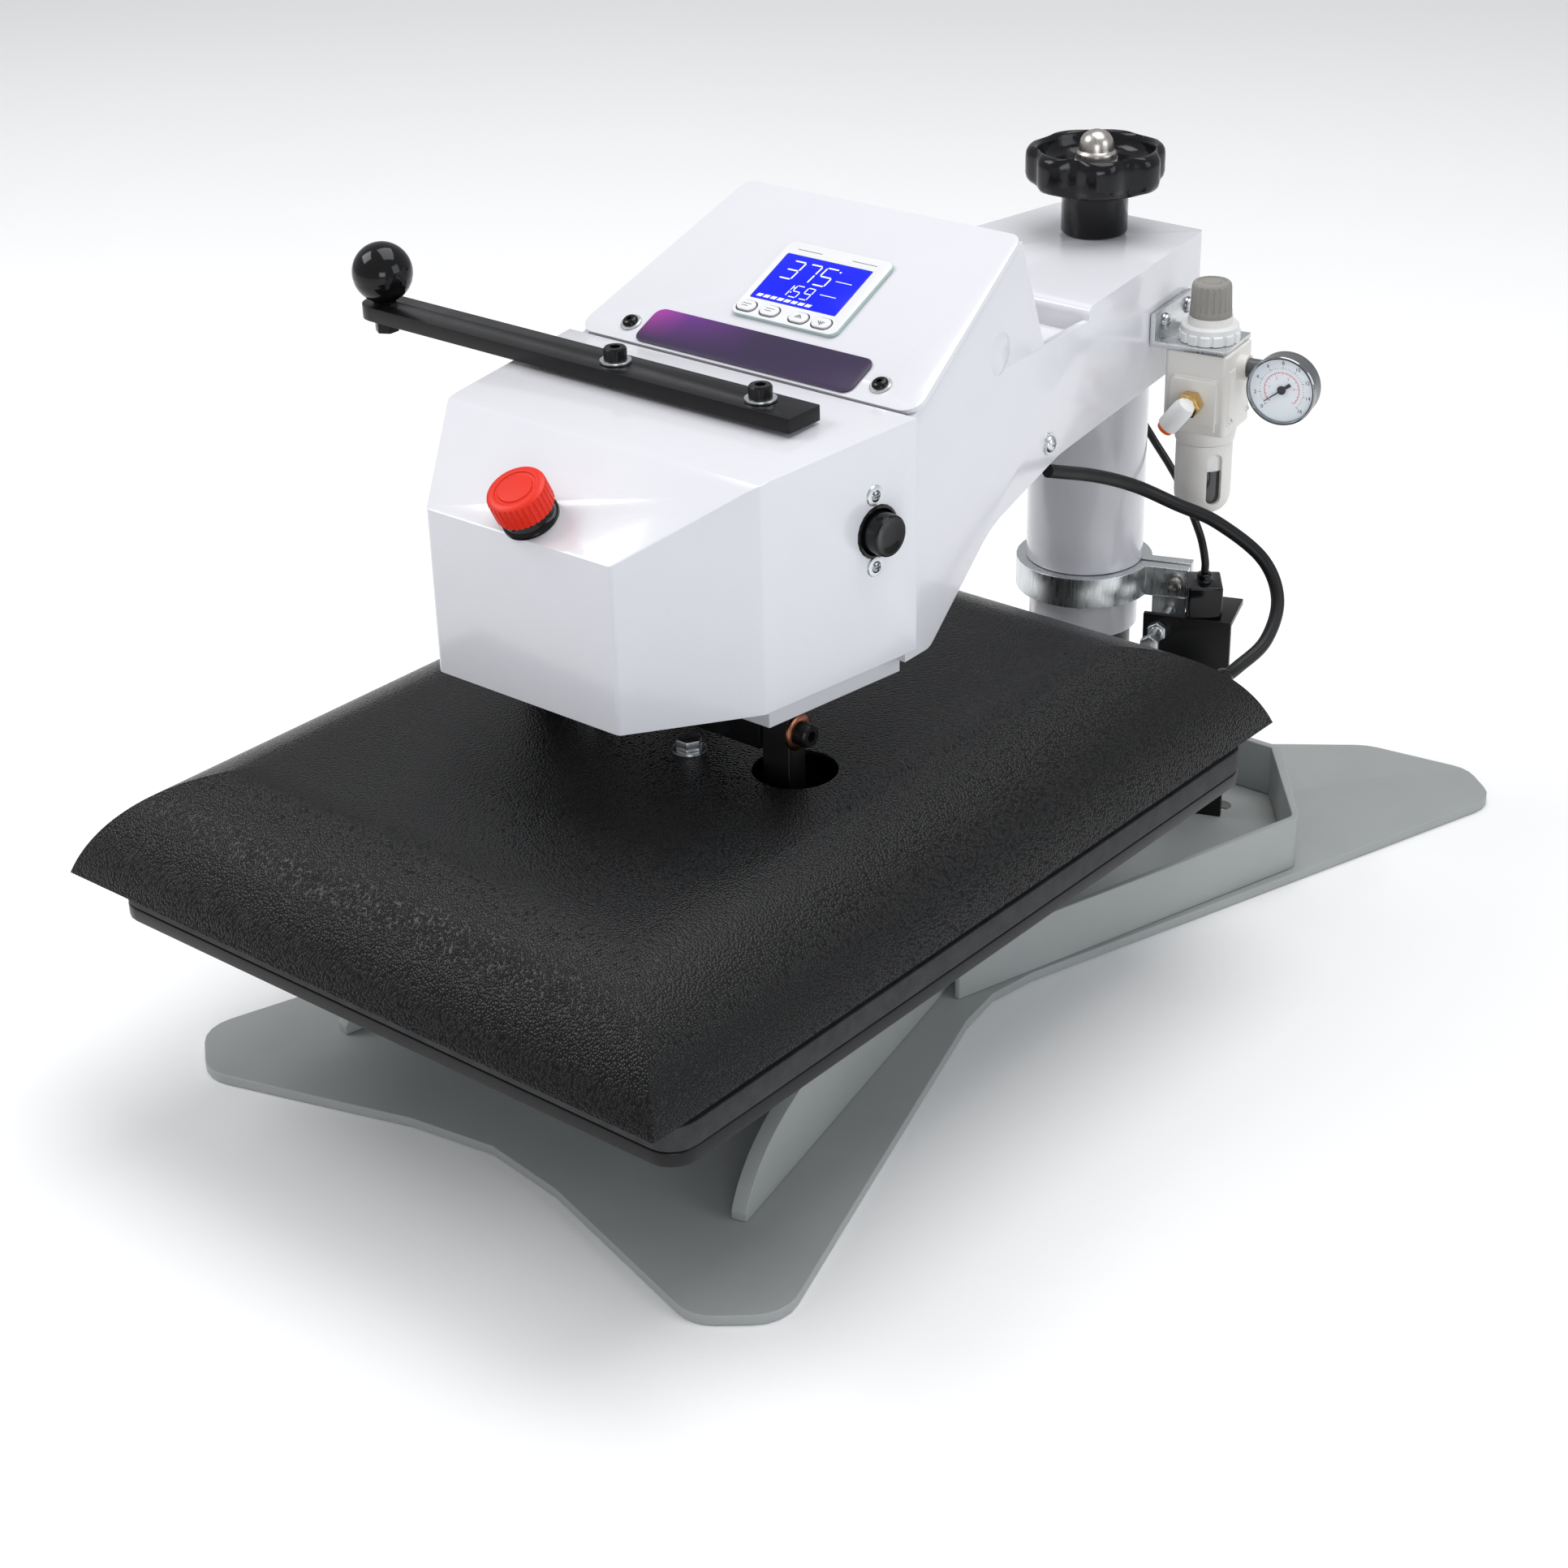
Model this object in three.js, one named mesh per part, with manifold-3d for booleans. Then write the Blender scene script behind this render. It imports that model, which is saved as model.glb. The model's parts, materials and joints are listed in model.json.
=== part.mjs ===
// Swing-away pneumatic heat press, millimetres, +Z up.
// The origin is on the floor under the swing post; the machine faces -Y and the operator's right is +X.
import * as THREE from "three";
import { mergeVertices } from "three/addons/utils/BufferGeometryUtils.js";
import Module from "manifold-3d";

const wasm = await Module();
wasm.setup();

// ---- driving dimensions -------------------------------------------------------------------------
const GAP = 0.3; // clearance between neighbouring pieces
const INCH = 25.4;

const PLATEN_X = 16 * INCH; // heated area, side to side
const PLATEN_Y = 20 * INCH; // heated area, front to back
const REACH = 382.5; // swing axis to platen centre

const BASE_T = 6; // base plate
const TABLE_Z = 115; // underside of the lower table
const TABLE_T = 8.5;
const PAD_T = 14; // silicone pad
const PRESS_GAP = 5; // open gap between pad and heat platen
const PLATEN_T = 25;
const PLATEN_EDGE = 12; // thickness of the platen's rim, under the shroud's rolled sides
const EDGE_R = 16; // plan corners of table, pad and platen

const RIM_SIDE = 6.9; // shroud rim beyond the platen, each side
const RIM_END = 17.5; // shroud rim beyond the platen, front and back
const SHROUD_SHIFT = -4; // shroud centre, forward of the platen centre
const RIM_LIFT = 5; // shroud rim above the platen's face
const SHROUD_H = 56; // rim to flat top
const SHROUD_R = 84; // section radius of the rolled sides
const SHROUD_START = 70; // degrees, slope of the sides at the rim
const SHEET = 2; // sheet thickness of shroud and covers

const POST_R = 31; // fixed inner post
const POST_BORE = 24;
const POST_FLOOR = 40; // bottom of the bore
const SLEEVE_R = 35; // swinging sleeve
const TUBE_R = 37.5; // painted outer tube of the arm
const COLLAR_R = 44; // clamp collar
const SLEEVE_Z = 117.5; // lower end of the swinging sleeve
const COLLAR_Z = 142.5; // underside of the clamp collar
const COLLAR_H = 20;
const POST_TOP = 330;

const ARM_HALF = 115; // half width of the arm where it enters the cover
const ARM_TAPER = 0.165; // half width lost per millimetre towards the post
const ARM_WALL = 4;
const ARM_FRONT = -346; // front end of the arm's side plates
const ARM_BACK = 45.5;
const ARM_TOP = 376; // top of the block over the post
const ARM_SIDE_TOP = 369; // top edge of the side plates between console and block
const ARM_FLOOR = 299.5; // level underside of the arm
const BLOCK_FRONT = -124.5; // front face of the block over the post

const COVER_BOTTOM = 253.5;
const COVER_REAR = [121, -340.5, 383.4]; // half width, y, height of the cover's rear edge
const COVER_BEND = [107.4, -449.5, 378.4]; // where the corner chamfers and the front slope begin
const COVER_NOSE = [63.5, -512.5, 345.4]; // front edge

const CHASSIS_BOTTOM = 235.5;
const CHASSIS_TOP = 304;
const CHASSIS_FRONT = -432.5;
const CHASSIS_REAR = -337;

const CONSOLE_FOOT = [118.5, -338.5, 383.9]; // half width, y, height of the console's lower edge
const CONSOLE_HEAD = [95.5, -213.5, 442.5]; // half width, y, height of its upper edge
const CONSOLE_T = 3;

const PIVOT_X = 86; // clevis posts beside the centre line
const PIVOT_Y = -REACH - 28;
const PIVOT_Z = 225;

const WHEEL_R = 43;
const WHEEL_H = 24;
const HUB_R = 20.3;
const HUB_H = 29;
const DISH_DEPTH = 13;
const WHEEL_LOBES = 7;

const REGULATOR = [92.5, -11.5]; // regulator axis beside the arm
const SHELF_Z = 326; // underside of the regulator bracket's shelf
const SIDE_ANGLE = Math.atan(ARM_TAPER); // the arm's side plates turn this far from the centre line

// heights worked out from the stack on the table
const PAD_Z = TABLE_Z + TABLE_T + GAP;
const PLATEN_Z = PAD_Z + PAD_T + PRESS_GAP;
const RIM_Z = PLATEN_Z + RIM_LIFT;
const SHROUD_TOP = RIM_Z + SHROUD_H;

// ---- geometry helpers ---------------------------------------------------------------------------
const rad = THREE.MathUtils.degToRad;

function solidOf(geometry) {
  const bare = geometry.index ? geometry.clone() : mergeVertices(geometry.clone(), 1e-4);
  bare.deleteAttribute("normal");
  bare.deleteAttribute("uv");
  const merged = mergeVertices(bare, 1e-4);
  return new wasm.Manifold(
    new wasm.Mesh({
      numProp: 3,
      vertProperties: merged.attributes.position.array,
      triVerts: new Uint32Array(merged.index.array),
    }),
  );
}

function geometryOf(solid) {
  const mesh = solid.getMesh();
  const geometry = new THREE.BufferGeometry();
  geometry.setAttribute("position", new THREE.BufferAttribute(mesh.vertProperties, 3));
  geometry.setIndex(new THREE.BufferAttribute(mesh.triVerts, 1));
  const faceted = geometry.toNonIndexed();
  faceted.computeVertexNormals();
  return faceted;
}

function combine(operation, first, others) {
  let solid = solidOf(first);
  for (const other of others) solid = solid[operation](solidOf(other));
  return geometryOf(solid);
}

const join = (first, ...others) => combine("add", first, others);
const cut = (first, ...others) => combine("subtract", first, others);
const common = (first, ...others) => combine("intersect", first, others);

// Corner points with a radius each, [x, y, radius], as a polygon whose corners are arcs.
function rounded(corners) {
  const points = [];
  corners.forEach(([x, y, radius = 0], i) => {
    const here = new THREE.Vector2(x, y);
    if (!radius) {
      points.push(here);
      return;
    }
    const before = corners.at(i - 1);
    const after = corners[(i + 1) % corners.length];
    const back = new THREE.Vector2(before[0], before[1]).sub(here).normalize();
    const on = new THREE.Vector2(after[0], after[1]).sub(here).normalize();
    const half = Math.acos(THREE.MathUtils.clamp(back.dot(on), -1, 1)) / 2;
    const reach = radius / Math.tan(half);
    const inwards = back.clone().add(on).normalize();
    const centre = here.clone().addScaledVector(inwards, radius / Math.sin(half));
    const from = here.clone().addScaledVector(back, reach).sub(centre).angle();
    let turn = here.clone().addScaledVector(on, reach).sub(centre).angle() - from;
    if (turn > Math.PI) turn -= 2 * Math.PI;
    if (turn < -Math.PI) turn += 2 * Math.PI;
    const steps = Math.max(2, Math.ceil(Math.abs(turn) / rad(18)));
    for (let k = 0; k <= steps; k++) {
      const angle = from + (turn * k) / steps;
      const spoke = new THREE.Vector2(Math.cos(angle), Math.sin(angle));
      points.push(centre.clone().addScaledVector(spoke, radius));
    }
  });
  return points;
}

// The right-hand half of an outline, mirrored to a whole one.
function mirrored(half) {
  const left = half.map(([x, y, radius]) => [-x, y, radius]).reverse();
  return [...half, ...left.filter(([x]) => x !== 0)];
}

// A polygon in plan, raised from z0 to z1.
function slab(corners, z0, z1, holes = []) {
  const shape = new THREE.Shape(rounded(corners));
  for (const [x, y, radius] of holes) {
    shape.holes.push(new THREE.Path().absarc(x, y, radius, 0, 2 * Math.PI, true));
  }
  const options = { depth: z1 - z0, bevelEnabled: false, curveSegments: 12 };
  return new THREE.ExtrudeGeometry(shape, options).translate(0, 0, z0);
}

// A polygon of [y, z, radius] corners, carried across from x0 to x1.
function profile(corners, x0, x1) {
  const shape = new THREE.Shape(rounded(corners));
  const geometry = new THREE.ExtrudeGeometry(shape, { depth: x1 - x0, bevelEnabled: false });
  const turn = new THREE.Matrix4().makeBasis(
    new THREE.Vector3(0, 1, 0),
    new THREE.Vector3(0, 0, 1),
    new THREE.Vector3(1, 0, 0),
  );
  return geometry.applyMatrix4(turn).translate(x0, 0, 0);
}

function block(x0, x1, y0, y1, z0, z1) {
  const geometry = new THREE.BoxGeometry(x1 - x0, y1 - y0, z1 - z0);
  return geometry.translate((x0 + x1) / 2, (y0 + y1) / 2, (z0 + z1) / 2);
}

const rectangle = (halfX, halfY, radius = 0, y = 0) => [
  [halfX, y - halfY, radius],
  [halfX, y + halfY, radius],
  [-halfX, y + halfY, radius],
  [-halfX, y - halfY, radius],
];

// A solid turned about Z from [radius, z] points that start and end on the axis.
function turned(points, segments = 20) {
  const outline = points.map(([radius, z]) => new THREE.Vector2(radius, z));
  return new THREE.LatheGeometry(outline, segments).rotateX(Math.PI / 2);
}

const rod = (radius, z0, z1, segments = 20) =>
  turned([[0, z0], [radius, z0], [radius, z1], [0, z1]], segments);

const pipe = (outer, inner, z0, z1, segments = 32) =>
  turned([[inner, z0], [outer, z0], [outer, z1], [inner, z1], [inner, z0]], segments);

// Turns a piece made along +Z to point along `direction`, with its origin at `place`.
function along(geometry, place, direction) {
  const turn = new THREE.Quaternion().setFromUnitVectors(
    new THREE.Vector3(0, 0, 1),
    new THREE.Vector3(...direction).normalize(),
  );
  return geometry.applyQuaternion(turn).translate(...place);
}

// A cable of one diameter through its route points.
function cable(route, diameter, sides, steps) {
  const path = new THREE.CatmullRomCurve3(route.map((point) => new THREE.Vector3(...point)));
  const section = new THREE.Shape();
  for (let k = 0; k < sides; k++) {
    const angle = (2 * Math.PI * k) / sides;
    const x = (diameter / 2) * Math.cos(angle);
    const y = (diameter / 2) * Math.sin(angle);
    if (k) section.lineTo(x, y);
    else section.moveTo(x, y);
  }
  return new THREE.ExtrudeGeometry(section, { extrudePath: path, steps, bevelEnabled: false });
}

// ---- finishes -----------------------------------------------------------------------------------
const finish = (color, roughness, metalness) =>
  new THREE.MeshStandardMaterial({ color, roughness, metalness });
const white = () => finish(0xeceef2, 0.3, 0);
const black = () => finish(0x0c0c0e, 0.4, 0.1);
const grey = () => finish(0x7c8284, 0.5, 0.1);
const zinc = () => finish(0xb4b8bb, 0.35, 0.9);
const steel = () => finish(0x9a9c9e, 0.4, 0.9);
const plastic = () => finish(0xd6d3ca, 0.5, 0);

const press = new THREE.Group();

function add(parent, name, geometry, material) {
  const mesh = new THREE.Mesh(geometry, material);
  mesh.name = name;
  parent.add(mesh);
}

// ---- base and table -----------------------------------------------------------------------------
// Butterfly plate: two front legs, a waist, two rear legs, each end blunt with round corners.
const BASE_OUTLINE = mirrored([
  [0, -554, 190],
  [182, -608.5, 24],
  [219, -578, 24],
  [118, -270, 110],
  [241, 128, 24],
  [208, 155.5, 24],
  [137, 146.5, 30],
  [0, 48, 60],
]);
const TRAY_H = 35;
const TRAY_T = 5;
const TRAY = [
  [112, -287.5],
  [186, -31, 12],
  [127, 47.5],
]; // outer face of the upstand on the right-hand side
const RIB_FOOT = [150, -532.5]; // front end of the right-hand rib
const RIB_HEEL = [43, -48]; // rear end, against the post's flange
const RIB_T = 9;
const CARRIER_T = 8;
const CARRIER_HALF = [130, 110];
const FLANGE_R = 41;
const FLANGE_H = 12;

function basePlate() {
  const bolts = [104, -104].map((x) => [x, 12, 7]);
  return slab(BASE_OUTLINE, 0, BASE_T, bolts);
}

function rearTray() {
  const inset = ([x, y, radius = 0]) => {
    const back = y > 0 ? TRAY_T : 0;
    return [x - TRAY_T, y - back, Math.max(0, radius - TRAY_T)];
  };
  const other = (side) => side.map(([x, y, radius]) => [-x, y, radius]).reverse();
  const both = (side) => [...side, ...other(side)];
  const outer = both(TRAY);
  const inner = both(TRAY.map(inset));
  const z0 = BASE_T + GAP;
  const open = inner.map(([x, y, radius]) => [x, y === TRAY[0][1] ? y - TRAY_T : y, radius]);
  return cut(slab(outer, z0, z0 + TRAY_H), slab(open, z0 - 1, z0 + TRAY_H + 1));
}

// The rib is drawn upright along its own length, then stood on the plate and turned.
function rib(side) {
  const run = Math.hypot(RIB_FOOT[0] - RIB_HEEL[0], RIB_HEEL[1] - RIB_FOOT[1]);
  const top = TABLE_Z - GAP - CARRIER_T - GAP - BASE_T - GAP;
  const shape = new THREE.Shape();
  shape.moveTo(0, 0);
  shape.lineTo(run, 0);
  shape.lineTo(run, top);
  shape.lineTo(run * 0.36, top);
  shape.bezierCurveTo(run * 0.24, top, run * 0.2, top * 0.46, run * 0.12, top * 0.43);
  shape.bezierCurveTo(run * 0.05, top * 0.36, run * 0.015, top * 0.2, 0, top * 0.05);
  const options = { depth: RIB_T, bevelEnabled: false, curveSegments: 8 };
  const upright = new THREE.ExtrudeGeometry(shape, options);
  upright.translate(0, 0, -RIB_T / 2).rotateX(Math.PI / 2);
  const heading = Math.atan2(RIB_HEEL[1] - RIB_FOOT[1], side * (RIB_HEEL[0] - RIB_FOOT[0]));
  return upright.rotateZ(heading).translate(side * RIB_FOOT[0], RIB_FOOT[1], BASE_T + GAP);
}

function addBase() {
  add(press, "base_plate", basePlate(), grey());
  add(press, "rear_tray", rearTray(), grey());
  add(press, "support_rib_right", rib(1), grey());
  add(press, "support_rib_left", rib(-1), grey());
  const carrierZ = TABLE_Z - GAP - CARRIER_T;
  const carrier = slab(rectangle(...CARRIER_HALF, 12, -REACH), carrierZ, TABLE_Z - GAP);
  add(press, "table_carrier", carrier, grey());
  const area = rectangle(PLATEN_X / 2, PLATEN_Y / 2, EDGE_R, -REACH);
  add(press, "lower_table", slab(area, TABLE_Z, TABLE_Z + TABLE_T), black());
  add(press, "silicone_pad", slab(area, PAD_Z, PAD_Z + PAD_T), finish(0x3c3c3e, 0.8, 0));
}

// ---- post, home switch and stop -----------------------------------------------------------------
const SWITCH_YAW = rad(20); // the switch bracket is turned this far from the X axis
const BRACKET_AT = [64, -20.5]; // its inner end
const BRACKET_W = 52;
const BRACKET_T = 4;
const BRACKET_TOP = 144;
const LUG_CLEAR = 21; // the shelf starts this far along, clear of the collar's ears
const STOP_AT = 6; // stop bolt, along the bracket from its inner end
const STOP_Z = 134;
const STOP_REACH = 29.5; // tip of the stop bolt behind the bracket, just short of the striker
const SENSOR_SIZE = [22, 28, 21];
const SENSOR_AT = [88.5, 3.5];
const SENSOR_YAW = rad(36);
const SENSOR_CABLE_D = 5;

// A piece drawn in the bracket's own frame: x along it, y behind it.
const onBracket = (geometry) => geometry.rotateZ(SWITCH_YAW).translate(BRACKET_AT[0], BRACKET_AT[1], 0);

function sensorBracket() {
  const z0 = BASE_T + GAP;
  const foot = block(14, 40, 0, 24, z0, z0 + BRACKET_T);
  const upright = block(14, BRACKET_W, 0, BRACKET_T, z0, BRACKET_TOP);
  const tab = block(-4, 15, 0, BRACKET_T, BRACKET_TOP - 34, BRACKET_TOP);
  const shelf = block(LUG_CLEAR, BRACKET_W, 0, 40, BRACKET_TOP - BRACKET_T, BRACKET_TOP);
  const hole = along(rod(4.4, -BRACKET_T, 2 * BRACKET_T), [STOP_AT, 0, STOP_Z], [0, 1, 0]);
  return onBracket(cut(join(foot, upright, tab, shelf), hole));
}

// The switch stands on the bracket's shelf, turned a little further than the bracket.
function homeSensor() {
  const [width, depth, height] = SENSOR_SIZE;
  const z0 = BRACKET_TOP + GAP;
  const housing = slab(rectangle(width / 2, depth / 2, 2), z0, z0 + height);
  const gland = rod(5, z0 + height - 1, z0 + height + 5, 12);
  return join(housing, gland).rotateZ(SENSOR_YAW).translate(SENSOR_AT[0], SENSOR_AT[1], 0);
}

function stopBolt() {
  const shank = rod(4, -22, STOP_REACH);
  const head = rod(6.5, -27, -21.5, 6);
  const nut = rod(6.5, -GAP - 6, -GAP, 6);
  return onBracket(along(join(shank, head, nut), [STOP_AT, 0, STOP_Z], [0, 1, 0]));
}

// From the sensor's gland up behind the tube to the arm's underside.
const SENSOR_ROUTE = [
  [...SENSOR_AT, BRACKET_TOP + SENSOR_SIZE[2] + 6],
  [88, 4, 178],
  [82, 8, 190],
  [70, 16, 201],
  [55, 27, 211],
  [38, 37, 221],
  [21, 42.5, 234],
  [8, 44, 250],
  [4, 44, 275],
  [4, 43, ARM_FLOOR - GAP],
];

function addPost() {
  const foot = [[0, BASE_T + GAP], [FLANGE_R, BASE_T + GAP], [FLANGE_R, BASE_T + FLANGE_H]];
  const outside = [[POST_R, BASE_T + FLANGE_H], [POST_R, POST_TOP]];
  const bore = [[POST_BORE, POST_TOP], [POST_BORE, POST_FLOOR], [0, POST_FLOOR]];
  add(press, "fixed_post", turned([...foot, ...outside, ...bore], 32), black());
  add(press, "sensor_bracket", sensorBracket(), black());
  add(press, "home_sensor", homeSensor(), black());
  add(press, "swing_stop_bolt", stopBolt(), zinc());
  add(press, "sensor_cable", cable(SENSOR_ROUTE, SENSOR_CABLE_D, 8, 26), black());
}

// ---- swinging sleeve and clamp collar -----------------------------------------------------------
const LUG_END = 70; // outer end of the collar's ears
const LUG_T = 8;
const LUG_SLOT = 3;
const COLLAR_BORE = SLEEVE_R + GAP;
const LUG_BOLT = [62, 0, COLLAR_Z + COLLAR_H / 2]; // middle of the clamp screw

function collar() {
  const ring = pipe(COLLAR_R, COLLAR_BORE, COLLAR_Z, COLLAR_Z + COLLAR_H);
  const half = LUG_SLOT / 2 + LUG_T;
  const ears = block(COLLAR_BORE + 3, LUG_END, -half, half, COLLAR_Z, COLLAR_Z + COLLAR_H);
  const striker = block(LUG_END - 22, LUG_END, -half - 1.5, half, COLLAR_Z - 16, COLLAR_Z + 1);
  const gap = LUG_SLOT / 2;
  const slot = block(COLLAR_BORE - 4, LUG_END + 1, -gap, gap, COLLAR_Z + 1, COLLAR_Z + 30);
  const lug = join(ears, striker);
  const hole = along(rod(3.3, -20, 20, 12), LUG_BOLT, [0, 1, 0]);
  const open = cut(join(ring, cut(lug, rod(COLLAR_BORE + 1, 0, POST_TOP))), slot, hole);
  return open.rotateZ(SWITCH_YAW);
}

function addSleeve() {
  const sleeve = pipe(SLEEVE_R, POST_R + GAP, SLEEVE_Z, POST_TOP);
  add(press, "swing_sleeve", sleeve, white());
  add(press, "clamp_collar", collar(), zinc());
  const socket = cut(rod(5, -16, -9.9), rod(2.4, -17, -13, 6));
  const screw = along(join(socket, rod(3, -10, 9.5, 12)), LUG_BOLT, [0, 1, 0]);
  add(press, "collar_screw", screw.rotateZ(SWITCH_YAW), black());
  add(press, "lift_nut", pipe(SLEEVE_R, 9, POST_TOP + GAP, POST_TOP + 18), steel());
}

// ---- swing arm ----------------------------------------------------------------------------------
const halfWidth = (y) => ARM_HALF - ARM_TAPER * (y - (CONSOLE_FOOT[1] + 5));
const CONSOLE_SLOPE = Math.atan2(CONSOLE_HEAD[2] - CONSOLE_FOOT[2], CONSOLE_HEAD[1] - CONSOLE_FOOT[1]);
const CONSOLE_LENGTH = Math.hypot(CONSOLE_HEAD[2] - CONSOLE_FOOT[2], CONSOLE_HEAD[1] - CONSOLE_FOOT[1]);
const WIDE = 200; // wider than any piece of the head

// Plan of the arm: straight tapering sides, inset by `wall`, with round corners at the back.
function armPlan(wall, front) {
  const back = ARM_BACK - wall;
  return mirrored([
    [halfWidth(front) - wall, front],
    [halfWidth(back) - wall, back, Math.max(12 - wall, 2)],
  ]);
}

// Side view of the arm, [y, z, radius]: the swept underside, the block, the notch and the console seat.
function armSide() {
  const seat = -(CONSOLE_T + GAP) / Math.cos(CONSOLE_SLOPE);
  const seatAt = (y) => CONSOLE_FOOT[2] + seat + Math.tan(CONSOLE_SLOPE) * (y - CONSOLE_FOOT[1]);
  return [
    [ARM_FRONT, 247],
    [-318, 244, 12],
    [-246, 287, 60],
    [-160, ARM_FLOOR, 90],
    [ARM_BACK, ARM_FLOOR],
    [ARM_BACK, ARM_TOP, 6],
    [BLOCK_FRONT, ARM_TOP, 6],
    [BLOCK_FRONT, ARM_SIDE_TOP - 1],
    [-183.5, ARM_SIDE_TOP + 3.5],
    [-213, seatAt(-213)],
    [ARM_FRONT, seatAt(ARM_FRONT)],
  ];
}

// The space inside: open to the front and under the console, closed by a deck behind it.
function armInside() {
  const deck = ARM_SIDE_TOP - 9;
  return [
    [ARM_FRONT - 10, 251],
    [-317, 248, 12],
    [-246, 291, 60],
    [-160, ARM_FLOOR + ARM_WALL, 90],
    [ARM_BACK - ARM_WALL, ARM_FLOOR + ARM_WALL],
    [ARM_BACK - ARM_WALL, deck - ARM_WALL],
    [-190, deck - ARM_WALL],
    [-240, 460],
    [ARM_FRONT - 10, 460],
  ];
}

function swingArm() {
  const outer = common(profile(armSide(), -WIDE, WIDE), slab(armPlan(0, ARM_FRONT), 200, 460));
  const inside = common(
    profile(armInside(), -WIDE, WIDE),
    slab(armPlan(ARM_WALL, ARM_FRONT - 10), 200, 470),
  );
  const aboveDeck = common(
    block(-WIDE, WIDE, -198, BLOCK_FRONT, ARM_SIDE_TOP - 9, 470),
    slab(armPlan(ARM_WALL, ARM_FRONT - 10), 200, 470),
  );
  const chassisRoom = block(-108, 108, ARM_FRONT - 5, CHASSIS_REAR + 2, 230, 320);
  const tubeHole = rod(TUBE_R + GAP, ARM_FLOOR - 10, ARM_FLOOR + 20, 32);
  const screwHole = rod(11, 340, ARM_TOP + 10);
  return cut(outer, inside, aboveDeck, chassisRoom, tubeHole, screwHole);
}

function addArm() {
  add(press, "swing_arm", swingArm(), white());
  const tube = pipe(TUBE_R, SLEEVE_R + GAP, COLLAR_Z + COLLAR_H + GAP, ARM_SIDE_TOP - 14);
  add(press, "post_tube", tube, white());
}

// ---- cover, chassis and press drive -------------------------------------------------------------
// Plan of the front cover, inset by `wall`; the rear is left open by carrying it past the rear edge.
function coverPlan(wall, rear) {
  const slope = (COVER_REAR[0] - COVER_BEND[0]) / (COVER_REAR[1] - COVER_BEND[1]);
  return mirrored([
    [COVER_NOSE[0] - wall * 0.6, COVER_NOSE[1] + wall, 4],
    [COVER_BEND[0] - wall, COVER_BEND[1] + wall * 0.5, 4],
    [COVER_REAR[0] - wall + slope * (rear - COVER_REAR[1]), rear],
  ]);
}

const coverSide = (wall, bottom, rear) => [
  [COVER_NOSE[1] - 5, bottom],
  [rear, bottom],
  [rear, COVER_REAR[2] - wall],
  [COVER_BEND[1], COVER_BEND[2] - wall, 30],
  [COVER_NOSE[1], COVER_NOSE[2] - wall],
  [COVER_NOSE[1] - 5, COVER_NOSE[2] - wall - 2.6],
];

const NOSE_SLOPE = Math.atan2(COVER_BEND[2] - COVER_NOSE[2], COVER_BEND[1] - COVER_NOSE[1]);
const ESTOP_Y = -500.5;
const ESTOP_AT = [0, ESTOP_Y, COVER_NOSE[2] + Math.tan(NOSE_SLOPE) * (ESTOP_Y - COVER_NOSE[1])];
const ESTOP_AXIS = [0, -Math.sin(NOSE_SLOPE), Math.cos(NOSE_SLOPE)];
const ESTOP_NECK = 10;
const BUTTON_Y = -369;
const BUTTON_Z = 329.5;
const BUTTON_HOLE = 14.5;
const BUTTON_R = 11.3;
const BUTTON_PROUD = 9.5; // face of the button outside the cover
const COVER_SIDE_ANGLE = Math.atan2(COVER_REAR[0] - COVER_BEND[0], COVER_REAR[1] - COVER_BEND[1]);
const coverHalf = (y) => COVER_REAR[0] - Math.tan(COVER_SIDE_ANGLE) * (COVER_REAR[1] - y);
const sideNormal = (side) => [side * Math.cos(COVER_SIDE_ANGLE), -Math.sin(COVER_SIDE_ANGLE), 0];

function frontCover() {
  const rear = COVER_REAR[1];
  const outer = common(
    profile(coverSide(0, COVER_BOTTOM, rear), -WIDE, WIDE),
    slab(coverPlan(0, rear), COVER_BOTTOM, 400),
  );
  const inner = common(
    profile(coverSide(SHEET, COVER_BOTTOM - 10, rear + 10), -WIDE, WIDE),
    slab(coverPlan(SHEET, rear + 10), COVER_BOTTOM - 10, 400),
  );
  const holes = [1, -1].map((side) =>
    along(rod(BUTTON_HOLE, -10, 10), [side * coverHalf(BUTTON_Y), BUTTON_Y, BUTTON_Z], sideNormal(side)),
  );
  const estopHole = along(rod(ESTOP_NECK + GAP, -12, 12), ESTOP_AT, ESTOP_AXIS);
  return cut(outer, inner, ...holes, estopHole);
}

// A folded box round the press drive, open underneath and behind.
function chassis() {
  const front = CHASSIS_FRONT;
  const half = (y, wall) => 95 - wall + Math.tan(COVER_SIDE_ANGLE) * (y - front);
  const plan = (wall, rear) => mirrored([[half(front, wall), front + wall], [half(rear, wall), rear]]);
  const outer = slab(plan(0, CHASSIS_REAR), CHASSIS_BOTTOM, CHASSIS_TOP);
  return cut(outer, slab(plan(3, CHASSIS_REAR + 10), CHASSIS_BOTTOM - 5, CHASSIS_TOP - 4));
}

const CYLINDER_R = 38;
const CYLINDER_Y = -387; // the cylinder stands a little behind the clevis bolts
const ROD_R = 8;
const YOKE_H = 20;
const YOKE_TOP = PIVOT_Z + 7;

function airCylinder() {
  const z1 = CHASSIS_TOP - 4 - GAP;
  const z0 = CHASSIS_BOTTOM + 10;
  const body = turned([[0, z0], [CYLINDER_R, z0], [CYLINDER_R, z1], [0, z1]], 32);
  return cut(body, rod(ROD_R + GAP, z0 - 1, z1 - 8)).translate(0, CYLINDER_Y, 0);
}

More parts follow.
